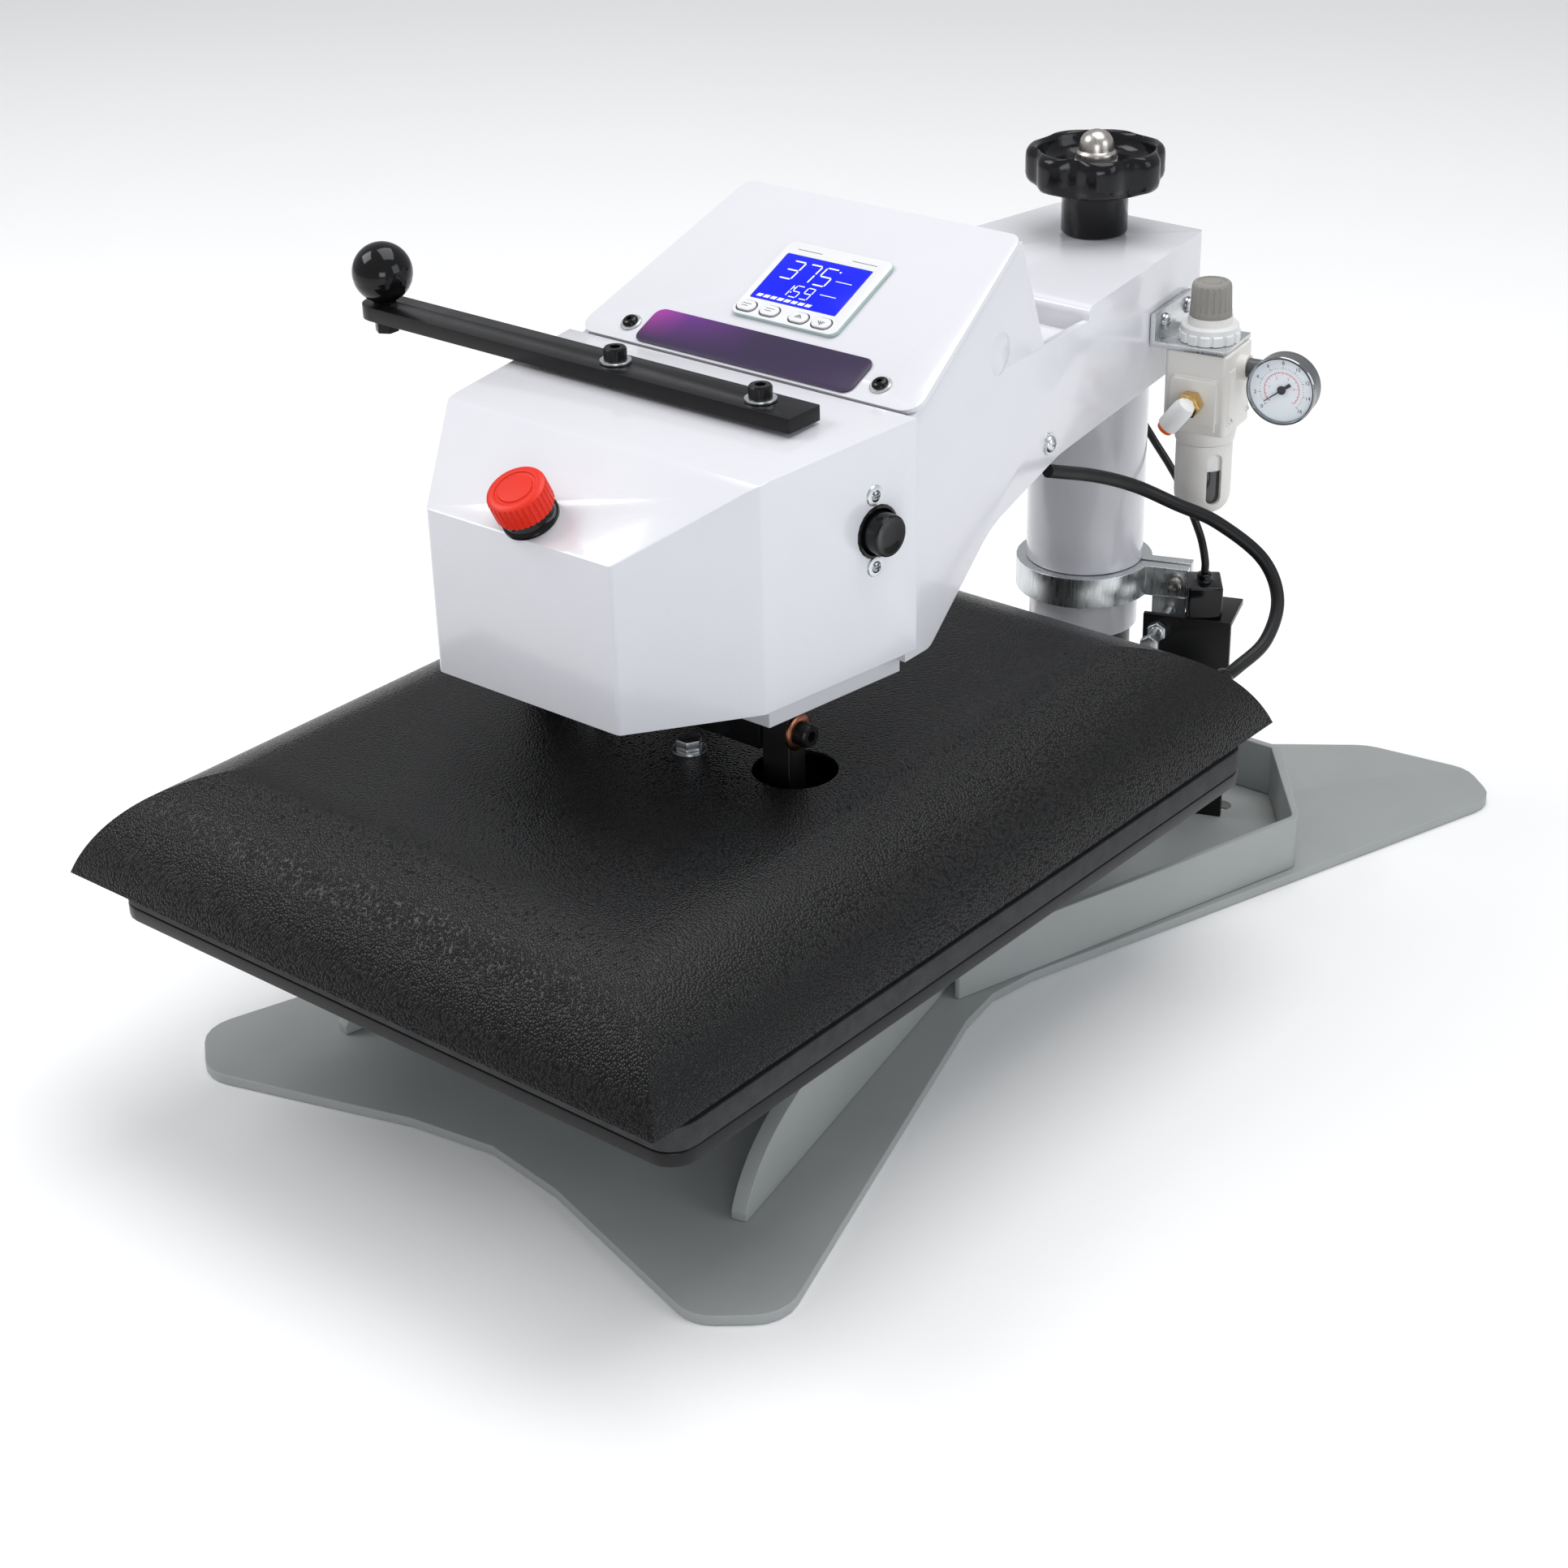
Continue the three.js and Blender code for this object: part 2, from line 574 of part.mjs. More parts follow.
function pressYoke() {
  const bar = block(-PIVOT_X + 10, PIVOT_X - 10, -8, 8, YOKE_TOP - YOKE_H, YOKE_TOP);
  const boss = rod(17, YOKE_TOP - YOKE_H, YOKE_TOP).translate(0, CYLINDER_Y - PIVOT_Y, 0);
  const piston = rod(ROD_R, YOKE_TOP - 1, CHASSIS_TOP - 28).translate(0, CYLINDER_Y - PIVOT_Y, 0);
  const bore = along(rod(4.5, -PIVOT_X, PIVOT_X, 12), [0, 0, PIVOT_Z], [1, 0, 0]);
  const solidMiddle = block(-50, 50, -8, 8, 0, 400);
  return cut(join(bar, boss, piston), cut(bore, solidMiddle)).translate(0, PIVOT_Y, 0);
}

// An upright bar from the heat platen to the yoke, with a foot and a cross hole for its bolt.
function clevis() {
  const z0 = PLATEN_Z + PLATEN_T + GAP;
  const x = PIVOT_X;
  const post = block(x - 9, x + 9, PIVOT_Y - 7, PIVOT_Y + 7, z0, PIVOT_Z + 9);
  const foot = block(x - 22, x + 22, PIVOT_Y - 26, PIVOT_Y + 26, z0, z0 + 8);
  const hole = along(rod(4.5, -20, 20, 12), [x, PIVOT_Y, PIVOT_Z], [1, 0, 0]);
  return cut(join(post, foot), hole);
}

function clevisBolt(side) {
  const washer = rod(10, 9 + GAP, 11.5);
  const head = cut(rod(6.5, 11, 19, 16), rod(2.8, 15, 20, 6));
  const shank = rod(4.2, 52 - PIVOT_X, 12, 12);
  return along(join(washer, head, shank), [side * PIVOT_X, PIVOT_Y, PIVOT_Z], [side, 0, 0]);
}

// ---- heat platen and shroud ---------------------------------------------------------------------
function heatPlaten() {
  const step = 13;
  const plate = rectangle(PLATEN_X / 2, PLATEN_Y / 2, EDGE_R, -REACH);
  const heater = rectangle(PLATEN_X / 2 - step, PLATEN_Y / 2 - step, EDGE_R - step, -REACH);
  return join(
    slab(plate, PLATEN_Z, PLATEN_Z + PLATEN_EDGE),
    slab(heater, PLATEN_Z + PLATEN_EDGE - 1, PLATEN_Z + PLATEN_T),
  );
}

// Inset and height of the rolled side, from the rim at angle SHROUD_START to the flat top.
function roll(steps, radius) {
  const start = rad(SHROUD_START);
  const rise = radius * (1 - Math.cos(start));
  const points = [];
  for (let k = 0; k <= steps; k++) {
    const angle = start * (1 - k / steps);
    const inset = radius * (Math.sin(start) - Math.sin(angle));
    points.push([inset, (SHROUD_H * radius * (Math.cos(angle) - Math.cos(start))) / rise]);
  }
  return points;
}

// One rolled side carried along X or Y; the two pairs meet in mitred corners where they intersect.
function shroudSolid(wall) {
  const halfX = PLATEN_X / 2 + RIM_SIDE - wall;
  const halfY = PLATEN_Y / 2 + RIM_END - wall;
  const steps = 8;
  const section = (half) => {
    const right = roll(steps, SHROUD_R).map(([inset, z]) => [half - inset, RIM_Z + z - wall]);
    const lip = wall ? [[half, RIM_Z - 10]] : [];
    const whole = [...lip, ...right];
    return [...whole, ...whole.map(([u, z]) => [-u, z]).reverse()];
  };
  const lengthwise = profile(section(halfY), -WIDE * 2, WIDE * 2);
  const crosswise = profile(section(halfX), -WIDE * 2, WIDE * 2).rotateZ(Math.PI / 2);
  return common(lengthwise, crosswise).translate(0, SHROUD_SHIFT - REACH, 0);
}

const SHROUD_HOLE = 23;
const HOLE_AT = [95, -REACH - 30];
const GLAND_AT = [172, RIM_Z + 15]; // heater cable entry on the rear side, x and z

function shroud() {
  const holes = [1, -1].map((side) =>
    rod(SHROUD_HOLE, SHROUD_TOP - 10, SHROUD_TOP + 5).translate(side * HOLE_AT[0], HOLE_AT[1], 0),
  );
  const entry = along(rod(5.5, -30, 30, 16), [GLAND_AT[0], -118, GLAND_AT[1]], [0, 1, 0]);
  return cut(shroudSolid(0), shroudSolid(SHEET), ...holes, entry);
}

function addPressHead() {
  add(press, "front_cover", frontCover(), white());
  add(press, "press_chassis", chassis(), white());
  add(press, "air_cylinder", airCylinder(), finish(0xa8abae, 0.35, 0.8));
  add(press, "press_yoke", pressYoke(), black());
  add(press, "heat_platen", heatPlaten(), finish(0x35363a, 0.6, 0.3));
  add(press, "platen_shroud", shroud(), finish(0x0b0b0d, 0.45, 0));
  for (const [side, name] of [[1, "right"], [-1, "left"]]) {
    add(press, `clevis_${name}`, side > 0 ? clevis() : turnedOver(clevis()), black());
    add(press, `clevis_bolt_${name}`, clevisBolt(side), finish(0x7d4a33, 0.4, 0.8));
  }
}

// A mirror image across the centre plane, with its faces turned back out.
function turnedOver(geometry) {
  const image = geometry.clone().scale(-1, 1, 1);
  const positions = image.attributes.position.array;
  for (let i = 0; i < positions.length; i += 9) {
    for (let k = 0; k < 3; k++) {
      const kept = positions[i + 3 + k];
      positions[i + 3 + k] = positions[i + 6 + k];
      positions[i + 6 + k] = kept;
    }
  }
  return image;
}

// ---- console ------------------------------------------------------------------------------------
// Console pieces are drawn flat, x across, y up the slope from the lower edge and z out of its face.
const OVERLAY = [-33, 40, 36, 97]; // display overlay, x0, x1 and its span up the slope
const OVERLAY_T = 2.4;
const LCD = [-28, 31, 50, 87];
const KEY_X = [-24.7, -8.5, 11.6, 27.3];
const KEY_S = 42.6;
const KEY_HALF = [6, 3.6];
const KEY_PROUD = 1;
const KEY_TRAVEL = 0.5;
const LABEL = [-77, 74, 1.5, 28];
const CONSOLE_SCREW = [87, 13];

const onConsole = (geometry) =>
  geometry.rotateX(CONSOLE_SLOPE).translate(0, CONSOLE_FOOT[1], CONSOLE_FOOT[2]);

// A slab over [x0, x1, s0, s1] with round corners, grown by `more` on every side.
function panel([x0, x1, s0, s1], radius, z0, z1, more = 0) {
  const corners = [
    [x1 + more, s0 - more, radius],
    [x1 + more, s1 + more, radius],
    [x0 - more, s1 + more, radius],
    [x0 - more, s0 - more, radius],
  ];
  return slab(corners, z0, z1);
}

const keyArea = (x) => [x - KEY_HALF[0], x + KEY_HALF[0], KEY_S - KEY_HALF[1], KEY_S + KEY_HALF[1]];

// A button-head screw on a flat washer.
function consoleScrew() {
  const shank = [[0, -8], [2.2, -8], [2.2, GAP]];
  const washer = [[6, GAP], [6, 1.3]];
  const head = [[4.6, 1.4], [3.4, 3.3], [0, 3.6]];
  return turned([...shank, ...washer, ...head], 16);
}

function addConsole() {
  const outline = mirrored([
    [CONSOLE_FOOT[0], 0, 10],
    [CONSOLE_HEAD[0], CONSOLE_LENGTH, 8],
  ]);
  const holes = [1, -1].map((side) => [side * CONSOLE_SCREW[0], CONSOLE_SCREW[1], 2.6]);
  add(press, "console_plate", onConsole(slab(outline, -CONSOLE_T, 0, holes)), white());
  const keyHoles = KEY_X.map((x) => panel(keyArea(x), KEY_HALF[1], 0, 2 * OVERLAY_T, GAP));
  const window = panel(LCD, 2, GAP + 0.8, 2 * OVERLAY_T, GAP);
  const overlay = cut(panel(OVERLAY, 5, GAP, OVERLAY_T), window, ...keyHoles);
  add(press, "display_overlay", onConsole(overlay), white());
  const glass = panel(LCD, 2, GAP + 0.8 + GAP, OVERLAY_T);
  add(press, "lcd_window", onConsole(glass), finish(0x1440e0, 0.1, 0));
  KEY_X.forEach((x, i) => {
    const key = panel(keyArea(x), KEY_HALF[1], GAP + KEY_TRAVEL, OVERLAY_T + KEY_PROUD);
    add(press, `key_${i + 1}`, onConsole(key), plastic());
  });
  const label = panel(LABEL, 6, GAP, GAP + 0.8);
  add(press, "console_label", onConsole(label), finish(0x5a2a9a, 0.5, 0));
  for (const [side, name] of [[1, "right"], [-1, "left"]]) {
    const screw = consoleScrew().translate(side * CONSOLE_SCREW[0], CONSOLE_SCREW[1], 0);
    add(press, `console_screw_${name}`, onConsole(screw), black());
  }
}

// ---- operator controls --------------------------------------------------------------------------
const HOUSING_DEPTH = 18;

function estopBase() {
  const foot = [[6.5, -18], [ESTOP_NECK, -18], [ESTOP_NECK, GAP], [15.2, GAP], [15.2, 2.6]];
  const neck = [[13.6, 3.4], [13.6, 9], [6.5, 9], [6.5, -18]];
  return along(turned([...foot, ...neck], 28), ESTOP_AT, ESTOP_AXIS);
}

function estopCap() {
  const stem = [[0, -14], [6, -14], [6, 14], [14, 14], [14, 8.2]];
  const skirt = [[16, 8.2], [16, 20], [14.4, 22], [0, 22.4]];
  return along(turned([...stem, ...skirt], 32), ESTOP_AT, ESTOP_AXIS);
}

const sideButtonAt = (side) => [side * coverHalf(BUTTON_Y), BUTTON_Y, BUTTON_Z];

function buttonHousing(side) {
  const bore = BUTTON_R + GAP;
  const back = [[bore, -HOUSING_DEPTH], [BUTTON_HOLE - GAP, -HOUSING_DEPTH], [BUTTON_HOLE - GAP, -0.4]];
  const cup = [[BUTTON_HOLE - 1.5, -0.4], [BUTTON_HOLE - 1.5, -9], [bore, -9], [bore, -HOUSING_DEPTH]];
  return along(turned([...back, ...cup], 28), sideButtonAt(side), sideNormal(side));
}

function palmButton(side) {
  const edge = [[BUTTON_R, BUTTON_PROUD - 1], [BUTTON_R - 1, BUTTON_PROUD]];
  const face = [[0, -14], [BUTTON_R, -14], ...edge, [6, BUTTON_PROUD - 1], [0, BUTTON_PROUD - 1.2]];
  return along(turned(face, 28), sideButtonAt(side), sideNormal(side));
}

function addControls() {
  add(press, "estop_base", estopBase(), black());
  add(press, "estop_cap", estopCap(), finish(0xd81a1a, 0.35, 0));
  for (const [side, name] of [[1, "right"], [-1, "left"]]) {
    add(press, `button_housing_${name}`, buttonHousing(side), black());
    add(press, `palm_button_${name}`, palmButton(side), black());
  }
}

// ---- handle -------------------------------------------------------------------------------------
const BAR_Y = -385.5;
const BAR_HALF = 13;
const BAR_Z = 383.8;
const BAR_T = 8;
const BAR_END = 84; // square end, right of the centre line
const BAR_TIP = -234; // rounded end, left of the centre line
const BAR_SCREWS = [-45, 55];
const KNOB_X = -221;
const KNOB_R = 17.2;
const KNOB_Z = BAR_Z + BAR_T + KNOB_R;
const BAR_HOLE = 3.6;

function addHandle() {
  const y0 = BAR_Y - BAR_HALF;
  const y1 = BAR_Y + BAR_HALF;
  const tip = BAR_HALF - 0.1;
  const outline = [[BAR_END, y0, 1.5], [BAR_END, y1, 1.5], [BAR_TIP, y1, tip], [BAR_TIP, y0, tip]];
  const holes = [...BAR_SCREWS, KNOB_X].map((x) => [x, BAR_Y, BAR_HOLE]);
  add(press, "handle_bar", slab(outline, BAR_Z, BAR_Z + BAR_T, holes), black());
  BAR_SCREWS.forEach((x, i) => {
    const top = BAR_Z + BAR_T + GAP;
    const washer = rod(8.6, top, top + 1.6);
    const head = cut(rod(6.3, top + 1, top + 8.5), rod(2.9, top + 4, top + 9, 6));
    const shank = rod(3.3, BAR_Z + 1, top + 3, 12);
    add(press, `handle_screw_${i + 1}`, join(washer, head, shank).translate(x, BAR_Y, 0), zinc());
  });
  const ball = new THREE.SphereGeometry(KNOB_R, 24, 14);
  ball.rotateX(Math.PI / 2).translate(0, 0, KNOB_Z);
  const seat = rod(6.5, BAR_Z + BAR_T + GAP, KNOB_Z);
  const bore = rod(BAR_HOLE, 0, KNOB_Z - 3);
  const knob = cut(join(ball, seat), block(-20, 20, -20, 20, 0, BAR_Z + BAR_T + GAP), bore);
  add(press, "handle_knob", knob.translate(KNOB_X, BAR_Y, 0), black());
  const bolt = join(rod(3.3, BAR_Z - 10, KNOB_Z - 6, 12), rod(7, BAR_Z - 9, BAR_Z - GAP, 6));
  add(press, "handle_stud", bolt.translate(KNOB_X, BAR_Y, 0), black());
}

// ---- height wheel and lift screw ----------------------------------------------------------------
const WHEEL_Z = ARM_TOP + GAP;
const SCREW_R = 8.7;
const DISH_R = 30;
const DISH_CORNER = 7; // bevel between the dish's floor and its wall
const LOBE_DEPTH = 3;

// Plan radius of the wheel's rim: seven shallow lobes.
function wheelRim() {
  const steps = 12 * WHEEL_LOBES;
  const corners = [];
  for (let k = 0; k < steps; k++) {
    const angle = (2 * Math.PI * k) / steps;
    const radius = WHEEL_R - LOBE_DEPTH + LOBE_DEPTH * Math.cos(WHEEL_LOBES * angle);
    corners.push([radius * Math.cos(angle), radius * Math.sin(angle)]);
  }
  return corners;
}

function handwheel() {
  const top = WHEEL_Z + HUB_H + WHEEL_H;
  const hub = rod(HUB_R, WHEEL_Z, WHEEL_Z + HUB_H + 1, 32);
  const rim = slab(wheelRim(), WHEEL_Z + HUB_H, top);
  const bottom = [[0, top - DISH_DEPTH], [DISH_R - DISH_CORNER, top - DISH_DEPTH]];
  const wall = [[DISH_R, top - DISH_CORNER], [DISH_R + 1, top + 1], [0, top + 1]];
  const dish = turned([...bottom, ...wall], 28);
  const bore = rod(SCREW_R + GAP, WHEEL_Z - 1, top - DISH_DEPTH + 2, 16);
  return cut(join(hub, rim), dish, bore);
}

function addWheel() {
  add(press, "handwheel", handwheel(), black());
  const floor = WHEEL_Z + HUB_H + WHEEL_H - DISH_DEPTH;
  const nutZ = floor + GAP;
  const hex = pipe(15, SCREW_R + GAP, nutZ, nutZ + 5, 6);
  const flank = [[0, 4], [12.5, 4], [12.5, 9], [10.8, 11]];
  const crown = [[10, 16], [6.5, 20.4], [0, 22.3]];
  const dome = turned([...flank, ...crown], 24).translate(0, 0, nutZ);
  const nut = cut(join(hex, dome), rod(SCREW_R + GAP, nutZ - 1, nutZ + 9, 16));
  add(press, "wheel_nut", nut, steel());
  add(press, "lift_screw", rod(SCREW_R, 262, nutZ + 8.5, 16), steel());
}

// ---- air regulator ------------------------------------------------------------------------------
// Drawn in a frame at the regulator's own axis, x outwards from the arm's side plate.
const onSide = (geometry) => geometry.rotateZ(SIDE_ANGLE).translate(REGULATOR[0], REGULATOR[1], 0);
const SIDE_X = -26.6; // outer face of the bracket's upright
const BOWL_TOP = 266;
const GAUGE_AXIS = [Math.sin(rad(3)), -Math.cos(rad(3)), 0];
const GAUGE_AT = [57.8, -30.7, 314.5]; // centre of the gauge face in the regulator's frame
const GAUGE_R = 21;
const GAUGE_T = 16;
const PORT_Z = 296; // axis of the air ports
const ELBOW_Y = 39; // elbow's drop, in front of the regulator's axis
const ELBOW_R = 6.5;
const BOWL_R = 17.3;

function regulatorBracket() {
  const upright = block(SIDE_X - 3, SIDE_X, -21, 35, SHELF_Z, 346);
  const shelf = block(SIDE_X - 3, 18, -21, 21, SHELF_Z, SHELF_Z + 3);
  const screws = [-7, 27.5].map((y) => along(rod(4.6, -1, 3, 16), [SIDE_X, y, 338], [1, 0, 0]));
  return cut(join(upright, shelf, ...screws), rod(13.5 + GAP, SHELF_Z - 5, SHELF_Z + 5));
}

function regulatorBody() {
  const body = slab(rectangle(21, 21, 5), 275, SHELF_Z - GAP);
  const neck = rod(13.5, SHELF_Z - 1, SHELF_Z + 18);
  const ringZ = SHELF_Z + 3 + GAP;
  const ring = turned([[0, ringZ], [18.5, ringZ], [18.5, ringZ + 10], [0, ringZ + 10]], 24);
  const ports = [1, -1].map((side) => along(rod(13, 20, 23, 24), [0, 0, PORT_Z], [0, side, 0]));
  const gaugePort = along(rod(8, 20, 26, 16), [0, 0, GAUGE_AT[2]], [1, 0, 0]);
  const cone = turned([[0, BOWL_TOP], [18, BOWL_TOP], [19.5, 276], [0, 276]], 24);
  return cut(join(body, neck, ring, ...ports, gaugePort, cone), rod(9, 250, 270));
}

function filterBowl() {
  const drain = [[0, 213], [5, 213], [5, 219]];
  const dome = [[10, 220], [14.8, 223.5], [BOWL_R, 230]];
  return turned([...drain, ...dome, [BOWL_R, BOWL_TOP - GAP], [0, BOWL_TOP - GAP]], 24);
}

function gauge() {
  const [x, y, z] = GAUGE_AT;
  const stem = along(rod(6, 0, x - 27, 12), [26 + GAP, 0, z], [1, 0, 0]);
  const bar = along(rod(6.5, -4, -y - GAUGE_T + 4, 12), [x - 2, 0, z], [0, -1, 0]);
  const back = [[0, -GAUGE_T], [GAUGE_R - 3, -GAUGE_T], [GAUGE_R, 3 - GAUGE_T]];
  const bezel = [[GAUGE_R, 0], [GAUGE_R - 2, 0]];
  const well = [[GAUGE_R - 2, -3], [0, -3]];
  const body = along(turned([...back, ...bezel, ...well], 32), GAUGE_AT, GAUGE_AXIS);
  const pin = along(rod(1.2, -4, -1.6, 12), GAUGE_AT, GAUGE_AXIS);
  return join(body, pin, stem, bar);
}

// The needle lies across the dial, thin tip to the lower left and broad tail to the upper right.
function gaugeNeedle() {
  const lower = [[-13, -0.4], [4, -1], [6, -1.4]];
  const upper = lower.map(([x, y]) => [x, -y]).reverse();
  const blade = new THREE.Shape(rounded([...lower, ...upper]));
  const geometry = new THREE.ExtrudeGeometry(blade, { depth: 0.6, bevelEnabled: false });
  const disc = join(geometry, rod(2.6, 0, 0.6, 16));
  const pivot = cut(disc, rod(1.2 + 0.15, -1, 1, 12));
  return along(pivot.rotateZ(rad(40)).translate(0, 0, -2.4), GAUGE_AT, GAUGE_AXIS);
}

function airElbow() {
  const nut = along(rod(8, 23 + GAP, 31, 6), [0, 0, PORT_Z], [0, -1, 0]);
  const body = along(rod(ELBOW_R, 30, ELBOW_Y + 1), [0, 0, PORT_Z], [0, -1, 0]);
  const corner = new THREE.SphereGeometry(ELBOW_R + 0.1, 16, 12).translate(0, -ELBOW_Y, PORT_Z);
  const drop = rod(ELBOW_R, PORT_Z - 14, PORT_Z, 16).translate(0, -ELBOW_Y, 0);
  const ring = rod(5.2, PORT_Z - 17, PORT_Z - 13, 16).translate(0, -ELBOW_Y, 0);
  const bore = rod(3, PORT_Z - 26, PORT_Z - 6, 12).translate(0, -ELBOW_Y, 0);
  return cut(join(nut, body, corner, drop, ring), bore);
}

function addRegulator() {
  add(press, "regulator_bracket", onSide(regulatorBracket()), zinc());
  add(press, "regulator_body", onSide(regulatorBody()), plastic());
  const knobZ = SHELF_Z + 18 + GAP;
  const knob = turned([[0, 0], [12.7, 0], [12, 18], [10.5, 20], [0, 20.5]], 24).translate(0, 0, knobZ);
  add(press, "regulator_knob", onSide(knob), finish(0x8c8d8a, 0.6, 0));
  add(press, "filter_bowl", onSide(filterBowl()), plastic());
  add(press, "pressure_gauge", onSide(gauge()), finish(0xb9bdb9, 0.4, 0.3));
  add(press, "gauge_needle", onSide(gaugeNeedle()), black());
  add(press, "air_elbow", onSide(airElbow()), plastic());
}

// ---- heater cable -------------------------------------------------------------------------------
const HEATER_CABLE_D = 8;

// From the arm's underside, down and round to the gland in the shroud's rear side.
const HEATER_ROUTE = [
  [84, -167.5, 291.5],
  [89, -124.5, 275.8],
  [96, -92.5, 260.8],
  [112, -72.5, 246.8],
  [132, -57.5, 234.8],
  [158, -47.5, 214.8],
  [173, -52.5, 193.8],
  [178, -72.5, 175.8],
  [174, -96, 166.3],
  [GLAND_AT[0], -119.5, GLAND_AT[1]],
];

addBase();
addPost();
addSleeve();
addArm();
addPressHead();
addConsole();
addControls();
addHandle();
addWheel();
addRegulator();
add(press, "heater_cable", cable(HEATER_ROUTE, HEATER_CABLE_D, 8, 32), black());

export default press;
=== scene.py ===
"""Swing-away heat press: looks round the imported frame. Metres, +Z up, front at -Y.

New pieces are drawn in millimetres, as the CAD is, and scaled once in finished().
"""
import json
import math

import bmesh
import bpy
from mathutils import Matrix, Vector

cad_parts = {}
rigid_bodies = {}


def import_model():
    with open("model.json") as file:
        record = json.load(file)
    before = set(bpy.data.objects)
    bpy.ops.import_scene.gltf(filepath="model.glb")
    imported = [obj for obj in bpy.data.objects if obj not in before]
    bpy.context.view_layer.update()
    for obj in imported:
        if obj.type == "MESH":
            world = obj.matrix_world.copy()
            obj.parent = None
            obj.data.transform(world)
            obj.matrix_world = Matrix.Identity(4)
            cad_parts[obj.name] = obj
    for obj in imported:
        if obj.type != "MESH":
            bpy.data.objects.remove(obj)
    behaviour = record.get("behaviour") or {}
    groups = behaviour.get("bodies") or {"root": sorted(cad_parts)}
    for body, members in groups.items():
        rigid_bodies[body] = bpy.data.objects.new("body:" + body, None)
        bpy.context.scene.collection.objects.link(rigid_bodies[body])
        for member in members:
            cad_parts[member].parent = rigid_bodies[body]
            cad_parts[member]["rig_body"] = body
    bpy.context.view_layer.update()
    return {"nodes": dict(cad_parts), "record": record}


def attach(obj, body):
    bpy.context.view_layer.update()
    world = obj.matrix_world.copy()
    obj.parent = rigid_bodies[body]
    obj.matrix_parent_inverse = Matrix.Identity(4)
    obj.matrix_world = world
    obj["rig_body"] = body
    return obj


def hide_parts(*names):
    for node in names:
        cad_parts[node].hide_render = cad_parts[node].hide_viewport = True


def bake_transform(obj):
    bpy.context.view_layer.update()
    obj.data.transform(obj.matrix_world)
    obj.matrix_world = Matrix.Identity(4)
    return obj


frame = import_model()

MM = 0.001
NODES = frame["nodes"]
SLOT_OF = {s["node"]: s["material_slot"] for s in frame["record"]["subparts"]}

# ---- sizes of the frame, in millimetres -------------------------------------------------------------
REACH = 382.5
PLATEN_X, PLATEN_Y = 406.4, 508.0
RIM_SIDE, RIM_END, SHROUD_SHIFT = 6.9, 17.5, -4.0
RIM_Z, SHROUD_H, SHROUD_R, SHROUD_START = 147.8, 56.0, 84.0, 70.0
SHEET = 2.0
SHROUD_TOP = RIM_Z + SHROUD_H
HOLE_R, HOLE_AT = 23.0, (95.0, -412.5)
GLAND_AT = (172.0, -119.5, RIM_Z + 15)
PIVOT = (86.0, -410.5, 225.0)
POST_R, POST_BORE, SLEEVE_R, TUBE_R = 31.0, 24.0, 35.0, 37.5
SLEEVE_Z, TUBE_Z, POST_TOP, TUBE_TOP = 117.5, 162.8, 330.0, 355.0
WHEEL_Z = 376.3
CONSOLE_FOOT, CONSOLE_HEAD = (-338.5, 383.9), (-213.5, 442.5)
NOSE, BEND = (-512.5, 345.4), (-449.5, 378.4)
BUTTON = (-369.0, 329.5)
BAR_Y, BAR_TOP = -385.5, 391.8
KNOB_X, KNOB_R = -221.0, 17.2
REGULATOR = (92.5, -11.5)
SHELF_Z = 326.0
GAUGE_AT = (57.8, -30.7, 314.5)
PORT_Z = 296.0
BOWL_TOP, BOWL_R = 265.7, 17.3
ARM_TAPER = math.atan(0.165)
COVER_BEND, COVER_BACK = (-449.5, 107.4), (-340.5, 121.0)
SHROUD_BOLT_X, SHROUD_BOLT_Y = 36, ((-429.5, "front"), (-345, "rear"))
MARK = 0.05

# ---- finish of the shapes ---------------------------------------------------------------------------
SMOOTH = 32
CORNER_STEPS = 8
METAL_GRAIN, METAL_DEPTH = (900, 900, 60), 0.00001

# ---- camera and light -------------------------------------------------------------------------------
AZIMUTH, ELEVATION, ROLL = 40.3, 27.96, -1.52
CAMERA_AT = Vector((0.9607, -1.4554, 0.8996))
LENS, SHIFT = 66.42, (0.0095, 0.0162)


def turn(axis, degrees):
    return Matrix.Rotation(math.radians(degrees), 4, axis)


def at(x, y, z):
    return Matrix.Translation((x, y, z))


def facing(place, direction):
    """A frame at place whose z points along direction and whose y is as upright as it can be."""
    return at(*place) @ Vector(direction).to_track_quat("Z", "Y").to_matrix().to_4x4()


def add_camera():
    data = bpy.data.cameras.new("camera")
    data.lens, data.sensor_width = LENS, 36.0
    data.shift_x, data.shift_y = SHIFT
    data.clip_start, data.clip_end = 0.05, 50
    camera = bpy.data.objects.new("camera", data)
    bpy.context.scene.collection.objects.link(camera)
    tilt = turn("Z", AZIMUTH) @ turn("X", 90 - ELEVATION) @ turn("Z", ROLL)
    camera.matrix_world = Matrix.Translation(CAMERA_AT) @ tilt
    bpy.context.scene.camera = camera


def add_light(name, place, target, size, power, color=(1, 1, 1)):
    data = bpy.data.lights.new(name, "AREA")
    data.shape, data.size, data.size_y = "RECTANGLE", size[0], size[1]
    data.energy, data.color = power, color
    lamp = bpy.data.objects.new(name, data)
    bpy.context.scene.collection.objects.link(lamp)
    lamp.location = place
    lamp.rotation_euler = (Vector(target) - Vector(place)).to_track_quat("-Z", "Y").to_euler()


